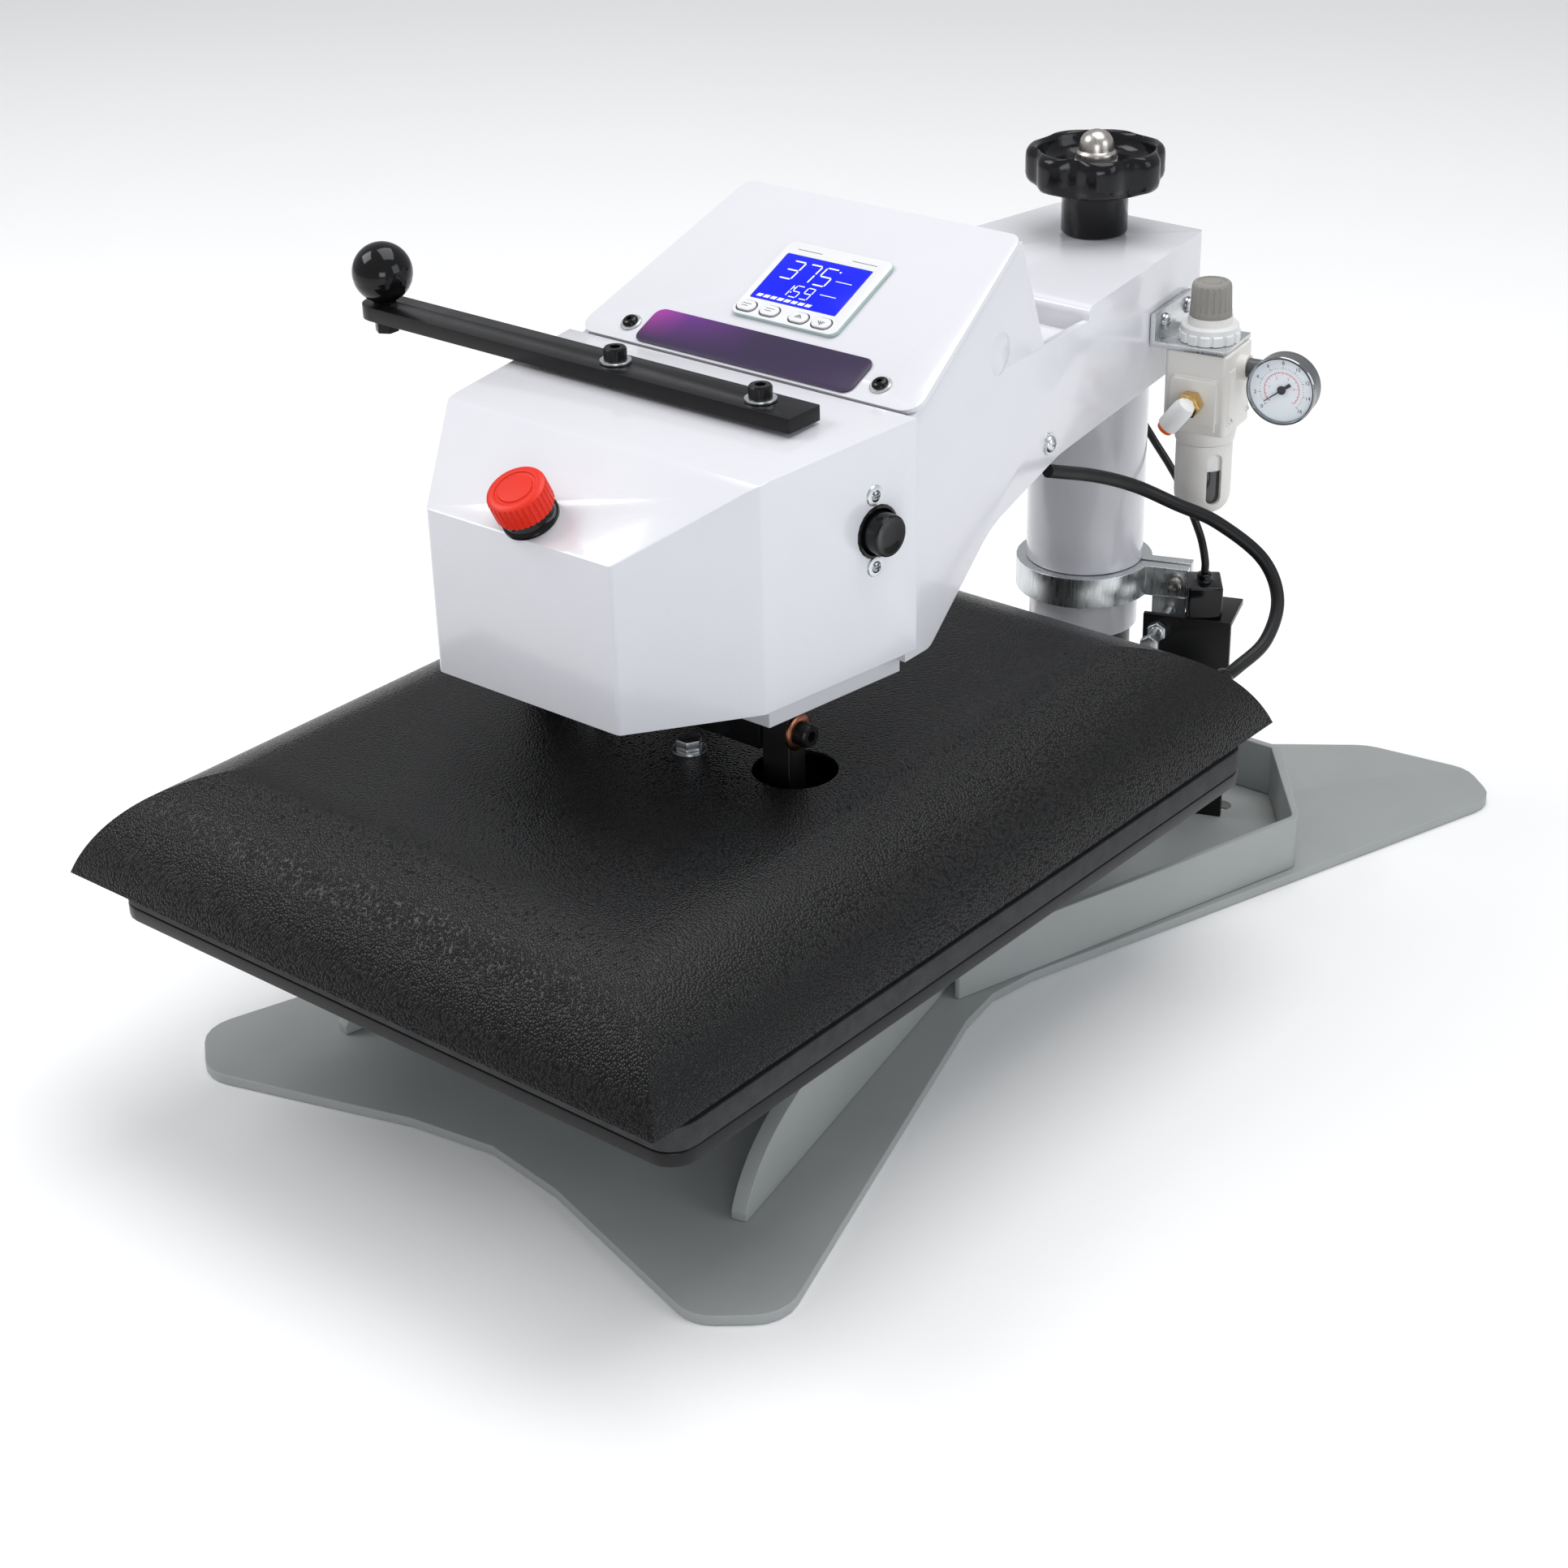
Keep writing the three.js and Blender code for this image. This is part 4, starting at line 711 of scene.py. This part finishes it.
def display():
    x0, x1, s0, s1 = OVERLAY
    film, top = OVERLAY_T - 0.35, OVERLAY_T
    body = carved(panel(x0, x1, s0, s1, 5, 0.3, film), *openings())
    face = carved(panel(x0 + 0.3, x1 - 0.3, s0 + 0.3, s1 - 0.3, 4.7, film, top), *openings())
    lines = [panel(a, b, 91.2, 91.6, 0, top - 0.01, top + 0.03) for a, b in ((-24, -7), (14, 31))]
    for x in KEY_X:
        border = panel(x - 6.9, x + 6.9, KEY_S - 4.5, KEY_S + 4.5, 4.49, top - 0.02, top + MARK)
        lines.append(carved(border, key_opening(x, top - 1, top + 1)))
    pieces = [(body, GLASS_EDGE), (eased(face, 0.12, 2), KEYS), *[(line, INK) for line in lines]]
    stand_in("display_overlay", pieces, CONSOLE)
    glass = eased(panel(*LCD, 1.5, 1.4, top), 0.1, 2)
    pieces = [(glass, LCD_GLASS), *[(mark, DIGITS) for mark in lcd_marks(top)]]
    stand_in("lcd_window", pieces, CONSOLE)


def chevrons(x, way):
    """Two nested arrowheads on a key, pointing up the slope or down it."""
    z = OVERLAY_T + 1
    marks = []
    for shift, size in ((-0.4, 2.6), (0.9, 1.5)):
        tip = KEY_S + way * (1.6 - shift)
        foot = tip - way * size
        outer = [(x - size, foot), (x, tip), (x + size, foot), (x + size - 0.7, foot),
                 (x, tip - way * 0.8), (x - size + 0.7, foot)]
        marks.append(prism(outer, z - 0.02, z + 0.03))
    return marks


def keys():
    for i, x in enumerate(KEY_X):
        cap = panel(x - KEY_HALF[0], x + KEY_HALF[0], KEY_S - KEY_HALF[1], KEY_S + KEY_HALF[1], 3.59,
                    0.8, OVERLAY_T + 1)
        pieces = [(eased(cap, 0.4, 3), KEYS)]
        if i >= 2:
            pieces += [(mark, INK) for mark in chevrons(x, 1 if i == 2 else -1)]
        else:
            bars = [panel(x - 3, x + 3 - 1.6 * k, KEY_S + 0.9 - 1.7 * k, KEY_S + 1.3 - 1.7 * k, 0,
                          OVERLAY_T + 0.98, OVERLAY_T + 1.03) for k in range(2)]
            pieces += [(bar, INK) for bar in bars]
        stand_in(f"key_{i + 1}", pieces, CONSOLE)


def console_screws():
    for side, name in ((1, "right"), (-1, "left")):
        head = [(0, 1.2), (4.6, 1.2), (4.6, 1.7), (4.2, 2.6), (3.3, 3.3), (2.4, 3.55), (0, 3.6)]
        cap = carved(lathe(head, 48), polygon(6, 1.5, 2, 5))
        ring = lathe([(2.4, 0.3), (6, 0.3), (6, 0.9), (5.5, 1.3), (2.4, 1.3)], 48)
        pieces = [(cap, BLACK_PLASTIC), (ring, ZINC), (rod(2.2, -8, 1.5, 20), ZINC)]
        stand_in(f"console_screw_{name}", pieces, CONSOLE @ at(side * 87, 13, 0))


# ---- operator controls ------------------------------------------------------------------------------
def estop():
    slope = math.atan2(BEND[1] - NOSE[1], BEND[0] - NOSE[0])
    y = -500.5
    z = NOSE[1] + math.tan(slope) * (y - NOSE[0])
    place = facing((0, y, z), (0, -math.sin(slope), math.cos(slope)))

    def ribbed(angle, radius, z):
        on_grip = radius > 15 and z < 20.2
        return radius - 0.55 if on_grip and math.cos(32 * angle) < -0.1 else radius
    stem = [(0, -14), (6, -14), (6, 14), (13.4, 14), (13.6, 8.4)]
    skirt = [(15.6, 8.2), (16, 8.8), (16, 14), (16, 20), (15.5, 21.2), (14.2, 22)]
    top = [(12.4, 22.3), (11.4, 22.2), (11.1, 21.6), (9.4, 21.5), (9.1, 22.1), (4, 22.3), (0, 22.35)]
    pieces = [(lathe([*stem, *skirt, *top], 256, ribbed), RED)]
    for k in range(3):
        outline = [(9.7, -2.2), (10.9, -2.2), (10.9, 1.0), (11.4, 1.0), (10.3, 2.6), (9.2, 1.0),
                   (9.7, 1.0)]
        arrow = prism(outline, 21.3, 21.75)
        pieces.append((moved(arrow, turn("Z", 120 * k + 20)), RED))
    stand_in("estop_cap", pieces, place)
    foot = [(6.5, -18), (10, -18), (10, 0.3), (15.2, 0.3), (15.2, 1.8), (14.6, 2.6)]
    neck = [(13.6, 3.2), (13.2, 4), (13, 9), (6.5, 9)]
    stand_in("estop_base", [(lathe([*foot, *neck], 80), BLACK_PLASTIC)], place)


def palm_buttons():
    (bend_y, bend_half), (back_y, back_half) = COVER_BEND, COVER_BACK
    angle = math.atan2(back_half - bend_half, back_y - bend_y)
    half = back_half - math.tan(angle) * (back_y - BUTTON[0])
    for side, name in ((1, "right"), (-1, "left")):
        out = (side * math.cos(angle), -math.sin(angle), 0)
        place = facing((side * half, BUTTON[0], BUTTON[1]), out)
        face = [(0, -14), (11.3, -14), (11.3, 8), (11, 9), (10.2, 9.5), (8.6, 9.3), (7, 8.5),
                (4, 8.2), (0, 8.1)]
        stand_in(f"palm_button_{name}", [(lathe(face, 72), BLACK_PLASTIC)], place)
        cup = [(11.6, -18), (14.2, -18), (14.2, 0.2), (13.9, 0.7), (12.8, 0.7), (12.4, 0.1),
               (12.4, -9), (11.6, -9)]
        stand_in(f"button_housing_{name}", [(lathe(cup, 72), BLACK_PLASTIC)], place)
        for up in (20.5, -18.5):
            ring = lathe([(2, 0.05), (5.6, 0.05), (5.2, 0.9), (3.6, 1.3), (2, 1.3)], 40)
            head = moved(pan_head(3.4, 1.6), at(0, 0, 0.9))
            extra(f"button_screw_{name}_{'top' if up > 0 else 'bottom'}", "head",
                  [(ring, ZINC), (head, CHROME)], place @ at(2.5 * -side, up, 0))


# ---- handle -----------------------------------------------------------------------------------------
def handle():
    for i, x in enumerate((-45, 55)):
        top = BAR_TOP + 0.3
        pieces = [(washer(8.6, 3.4, 1.6), ZINC), (moved(socket_cap(6.3, 6.9), at(0, 0, 1.6)), BLACK),
                  (rod(3.3, BAR_TOP - 7 - top, 3, 24), ZINC)]
        stand_in(f"handle_screw_{i + 1}", pieces, at(x, BAR_Y, top))
    ball = [(3.6, 0.3), (6.5, 0.3), (6.5, 0.9)]
    steps, low = 44, 0.45
    for k in range(steps + 1):
        tilt = -math.pi / 2 + low + (math.pi - low) * k / steps
        z = KNOB_R + KNOB_R * math.sin(tilt)
        seam = 0.16 if abs(z - KNOB_R + 3.2) < 0.35 else 0
        ball.append((max(0.0, (KNOB_R - seam) * math.cos(tilt)), z))
    ball[-1] = (0, 2 * KNOB_R)
    bore = [(0, KNOB_R - 3), (3.6, KNOB_R - 3)]
    knob = lathe([*bore, *ball], 96)
    stand_in("handle_knob", [(knob, BLACK_PLASTIC)], at(KNOB_X, BAR_Y, BAR_TOP), smooth=40)


# ---- air regulator ----------------------------------------------------------------------------------
SIDE = at(REGULATOR[0], REGULATOR[1], 0) @ turn("Z", math.degrees(ARM_TAPER))


def regulator():
    z0, z1 = 275.0, SHELF_Z - 0.3
    body = eased(panel(-20, 20, -20, 20, 3, z0, z1), 1.2, 3)
    plate = eased(panel(-14, 14, -21, -19, 1, z0 + 3, z1 - 14), 0.7, 2)
    step = eased(panel(-21, 21, -17, 17, 2, z0 + 6, z1 - 10), 0.8, 2)
    collar = eased(lathe([(9, 266.2), (18, 266.2), (18.6, 270), (19.4, 276), (9, 276)], 72), 0.5, 2)
    foot_plate = eased(panel(-11, 11, -20.9, -19.5, 0.5, 277, 283), 0.3, 2)
    ports = [eased(moved(panel(-15, 15, -14, 14, 3, 19, 23), facing((0, 0, PORT_Z), (0, side, 0))),
                   0.6, 2) for side in (1, -1)]
    neck = rod(13.4, SHELF_Z - 1, SHELF_Z + 18)
    ring_z = SHELF_Z + 3.3

    def notched(angle, radius, z):
        on_rim = radius > 17.5 and z < ring_z + 8
        return radius - 1.1 if on_rim and math.cos(14 * angle) < -0.55 else radius
    ring = [(13.2, ring_z), (18.4, ring_z), (18.5, ring_z + 4.6), (18.5, ring_z + 5.4), (17.4, ring_z + 6.2),
            (17.4, ring_z + 9), (16.6, ring_z + 10), (13.2, ring_z + 10)]
    pieces = [(s, IVORY) for s in (body, plate, step, collar, foot_plate, *ports, neck)]
    pieces.append((lathe(ring, 168, notched), PALE))
    pieces.append((moved(rod(7.6, 20, 26, 40), facing((0, 0, GAUGE_AT[2]), (1, 0, 0))), IVORY))
    for y, z in ((13, 284), (-13, 284), (13, 309)):
        head = moved(pan_head(1.9, 1.2), facing((21, y, z), (1, 0, 0)))
        pieces.append((head, ZINC))
    stand_in("regulator_body", pieces, SIDE)


def regulator_knob():
    base = SHELF_Z + 18.3

    def ribs(angle, radius, z):
        on_grip = radius > 11.4 and 3.2 < z < 17.6
        return radius - 0.35 if on_grip and math.cos(20 * angle) < -0.5 else radius
    skirt = [(0, 0), (12.7, 0), (12.7, 3), (12.5, 3.4), (12.2, 10), (11.9, 17.4), (11.5, 19), (10.6, 20.1)]
    top = [(9.2, 20.4), (8.4, 20.4), (8.1, 19.9), (5.6, 19.9), (5.3, 20.3), (0, 20.4)]
    stand_in("regulator_knob", [(lathe([*skirt, *top], 160, ribs), KNOB_GREY)], SIDE @ at(0, 0, base))


def filter_bowl():
    drain = lathe([(0, 213), (4.6, 213), (4.8, 214), (4.8, 218.6), (0, 218.9)], 48)
    wall = [(4.9, 219), (10, 220.2), (13.4, 222.4), (15.8, 225.6), (17, 229.4), (BOWL_R, 233),
            (BOWL_R, 263), (16.8, BOWL_TOP)]
    bowl = lathe([*wall, (0, BOWL_TOP), (0, 219)], 96)
    heading = turn("Z", 46)
    slot = moved(panel(-4.8, 4.8, 228, 261, 4.79, 12, 30), heading @ facing((0, 0, 0), (0, -1, 0)))
    shell = carved(bowl, slot)
    inner = lathe([(0, 225), (13, 225), (14.6, 229), (14.6, 262), (0, 262)], 64)
    head = lathe([(14.65, 249), (15.2, 249.5), (15.2, 261), (14.65, 261.5)], 64)
    pieces = [(eased(shell, 0.35, 2, 40), IVORY), (inner, LIQUID), (head, PALE), (drain, DARK)]
    stand_in("filter_bowl", pieces, SIDE, smooth=40)


DIAL_Z, DIAL_START, DIAL_SWEEP = -2.9, -135, 270


def text(figures, size):
    """Dial figures as a thin shape centred on the origin."""
    curve = bpy.data.curves.new("figures", "FONT")
    curve.body, curve.size, curve.extrude = figures, size, 0.03
    curve.align_x, curve.align_y = "CENTER", "CENTER"
    obj = bpy.data.objects.new("figures", curve)
    bpy.context.scene.collection.objects.link(obj)
    graph = bpy.context.evaluated_depsgraph_get()
    mesh = bpy.data.meshes.new_from_object(obj.evaluated_get(graph))
    bpy.data.objects.remove(obj)
    bm = bmesh.new()
    bm.from_mesh(mesh)
    return bm


def arc_band(r0, r1, start, end, z0, z1, steps=60):
    outline = []
    for radius, order in ((r1, range(steps + 1)), (r0, range(steps, -1, -1))):
        for k in order:
            a = math.radians(start + (end - start) * k / steps)
            outline.append((radius * math.sin(a), radius * math.cos(a)))
    return prism(outline, z0, z1)


def dial_tick(half, foot, tip, share, place):
    """A printed line across the dial's ring, share of the way along the scale."""
    tick = panel(-half, half, foot, tip, 0, DIAL_Z, DIAL_Z + MARK)
    return moved(tick, place @ turn("Z", -(DIAL_START + DIAL_SWEEP * share)))


def dial_figure(number, size, radius, share, place):
    a = math.radians(DIAL_START + DIAL_SWEEP * share)
    spot = at(radius * math.sin(a), radius * math.cos(a), DIAL_Z + MARK)
    return moved(text(str(number), size), place @ spot)


def gauge():
    x, y, z = GAUGE_AT
    direction = (math.sin(math.radians(3)), -math.cos(math.radians(3)), 0)
    place = facing(GAUGE_AT, direction)
    case = [(0, -16), (17.4, -16), (19.4, -15.2), (20.4, -13.4), (20.4, -3.4), (0, -3.4)]
    bezel = [(19.2, -3.1), (20.4, -3.1), (21, -2.6), (21, -0.7), (20.6, -0.15), (20, 0),
             (19.4, -0.2), (19.2, -0.8)]
    pieces = [(moved(lathe(case, 96), place), CASE), (moved(lathe(bezel, 96), place), CHROME)]
    pieces.append((moved(rod(19.2, DIAL_Z - 0.3, DIAL_Z, 96), place), DIGITS))
    for k in range(41):
        half, tip = (0.16, 14.2) if k % 5 == 0 else (0.1, 13.6)
        pieces.append((dial_tick(half, 12.9, tip, k / 40, place), INK))
    for k in range(9):
        pieces.append((dial_figure(2 * k, 3.1, 16.3, k / 8, place), INK))
    band = arc_band(10.4, 10.8, DIAL_START, DIAL_START + DIAL_SWEEP, DIAL_Z, DIAL_Z + MARK)
    pieces.append((moved(band, place), ROSE))
    for k in range(21):
        foot = 9.2 if k % 2 == 0 else 9.8
        pieces.append((dial_tick(0.12, foot, 10.4, k / 20, place), ROSE))
    for k in range(1, 5):
        pieces.append((dial_figure(k, 2.2, 7.6, k / 5, place), ROSE))
    pieces.append((moved(rod(1.2, -4, -1.6, 24), place), INK))
    stem = moved(rod(6, 0, x - 27, 32), facing((26.3, 0, z), (1, 0, 0)))
    arm = moved(rod(6.5, -4, -y - 12, 32), facing((x - 2, 0, z), (0, -1, 0)))
    pieces += [(stem, CASE), (arm, CASE)]
    stand_in("pressure_gauge", pieces, SIDE, smooth=30)
    thin = [(-13, -0.22), (2, -0.5), (3, -0.9), (6.4, -1.1)]
    outline = [*thin, *[(px, -py) for px, py in reversed(thin)]]
    blade = prism(outline, 0, 0.5)
    hub = lathe([(1.35, 0), (2.6, 0), (2.6, 0.55), (1.35, 0.55)], 40)
    stand_in("gauge_needle", [(blade, INK), (hub, INK)], SIDE @ place @ at(0, 0, -2.4) @ turn("Z", 38))


def elbow():
    port = facing((0, 0, PORT_Z), (0, -1, 0))
    nut = moved(eased(polygon(6, 8, 23.3, 31), 0.5, 2), port)
    run = moved(rod(5.2, 30, 40, 8), port)
    body = lathe([(0, 282), (6.3, 282), (6.5, 283), (6.5, 298), (5.4, 301.2), (2.4, 302.4),
                  (0, 302.6)], 48)
    barrel = carved(body, rod(3, 270, 290))
    ring = lathe([(3, 279), (5, 279), (5.2, 279.6), (5.2, 282.4), (3, 282.4)], 48)
    lean = at(0, 0, PORT_Z) @ turn("Y", 38) @ at(0, -39, -PORT_Z)
    pieces = [(nut, BRASS), (run, PALE), (moved(barrel, lean), PALE), (moved(ring, lean), ORANGE)]
    stand_in("air_elbow", pieces, SIDE)


def bracket_screws():
    for i, y in enumerate((-7, 27.5)):
        place = SIDE @ facing((-26.6, y, 338), (1, 0, 0))
        extra(f"bracket_screw_{i + 1}", "head", [(pan_head(5.2, 3.6), CHROME)], place)


# ---- small hardware ---------------------------------------------------------------------------------
def small_hardware():
    out = (math.cos(ARM_TAPER), math.sin(ARM_TAPER), 0)
    plug = lathe([(0, 1.7), (4, 1.6), (7, 1.2), (9.5, 0.6), (11.6, 0.08), (12.4, -0.3), (0, -0.3)], 96)
    extra("arm_plug", "head", [(plug, WHITE)], facing((99.2, -237.5, 384), out), 60)

    def serrated(angle, radius, z):
        return radius - 0.5 if math.cos(16 * angle) < 0 and radius > 5 else radius
    teeth = lathe([(3, 0), (6.6, 0), (6.6, 1), (3, 1)], 96, serrated)
    screw = moved(pan_head(5, 3), at(0, 0, 1))
    extra("arm_screw", "head", [(teeth, ZINC), (screw, ZINC)], facing((88.7, -174, 311), out))
    collar = lathe([(4.1, -2), (8.4, -2), (8.4, 2.6), (7.4, 3.4), (6.6, 9), (5.6, 11), (4.1, 11)], 48)
    ribs = carved(polygon(6, 9.4, -1, 4), rod(4.1, -5, 9))
    extra("shroud_gland", "platen", [(collar, BLACK_PLASTIC), (ribs, BLACK_PLASTIC)],
          facing(GLAND_AT, (0.1, 1, 0.15)))


# ---- cords ------------------------------------------------------------------------------------------
HEATER_D, SENSOR_D = 8.0, 5.0
HEATER_ROUTE = [
    (84, -167.5, 291.5), (89, -124.5, 275.8), (96, -92.5, 260.8), (112, -72.5, 246.8), (132, -57.5, 234.8),
    (158, -47.5, 214.8), (173, -52.5, 193.8), (178, -72.5, 175.8), (174, -96, 166.3), (172, -119.5, 162.8),
]
SENSOR_ROUTE = [
    (88.5, 3.5, 171), (88, 4, 178), (82, 8, 190), (70, 16, 201), (55, 27, 211), (38, 37, 221),
    (21, 42.5, 234), (8, 44, 250), (4, 44, 275), (4, 43, 299.2),
]


def cords():
    for node, route, size in (("heater_cable", HEATER_ROUTE, HEATER_D),
                              ("sensor_cable", SENSOR_ROUTE, SENSOR_D)):
        path = spline(route)
        jacket = finished("v_" + node, [(tube(path, size / 2, 24), JACKET)])
        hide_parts(node)
        if node == "sensor_cable":
            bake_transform(jacket)
        else:
            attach(jacket, NODES[node]["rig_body"])


# ---- the rest of the nodes, with their edges rounded ------------------------------------------------
EDGE = {"base_plate": 1.2, "rear_tray": 0.8, "lower_table": 1.0, "silicone_pad": 0.8, "front_cover": 1.4,
        "console_plate": 0.7, "handle_bar": 0.9, "clamp_collar": 0.7, "home_sensor": 1.5,
        "console_label": 0.1}


def build():
    cords()
    shroud()
    press_parts()
    column()
    arm()
    height_wheel()
    display()
    keys()
    console_screws()
    estop()
    palm_buttons()
    handle()
    regulator()
    regulator_knob()
    filter_bowl()
    gauge()
    elbow()
    bracket_screws()
    small_hardware()
    made = {obj.name[2:] for obj in bpy.data.objects if obj.name.startswith("v_")}
    for node in NODES:
        if node not in made:
            stand_in(node, [(eased(node_shape(node), EDGE.get(node, 0.6)), PAINT[SLOT_OF[node]])])


# ---- floor and light --------------------------------------------------------------------------------
WORLD_COLOR, WORLD_STRENGTH = (0.96, 0.97, 1.0, 1), 0.46
AIM = (0, -0.25, 0.2)


def add_stage():
    bpy.ops.mesh.primitive_plane_add(size=12, location=(0, 0, -0.0005))
    floor = bpy.context.object
    floor.name = "floor"
    n = Nodes("floor")
    n.set(Base_Color=n.mix(n.stretch(n.noise(0.8), 0.3, 0.7), (0.93, 0.93, 0.93), (0.95, 0.95, 0.95)))
    n.set(Roughness=0.85)
    floor.data.materials.append(n.material)
    bpy.context.scene.view_settings.view_transform = "Standard"
    world = bpy.data.worlds.new("studio")
    bpy.context.scene.world = world
    world.use_nodes = True
    background = world.node_tree.nodes["Background"]
    background.inputs["Color"].default_value = WORLD_COLOR
    background.inputs["Strength"].default_value = WORLD_STRENGTH


add_camera()
build()
add_stage()
add_light("key", (-1.9, -1.5, 2.5), AIM, (1.8, 1.4), 40)
add_light("side", (2.6, 0.3, 1.3), AIM, (1.4, 1.4), 15, (0.90, 0.96, 1.0))
add_light("fill", (1.7, -2.2, 0.75), (0.05, -0.1, 0.25), (1.0, 0.7), 11, (0.90, 0.94, 1.0))
add_light("top", (0.2, 0.3, 2.8), AIM, (2.4, 1.8), 46)
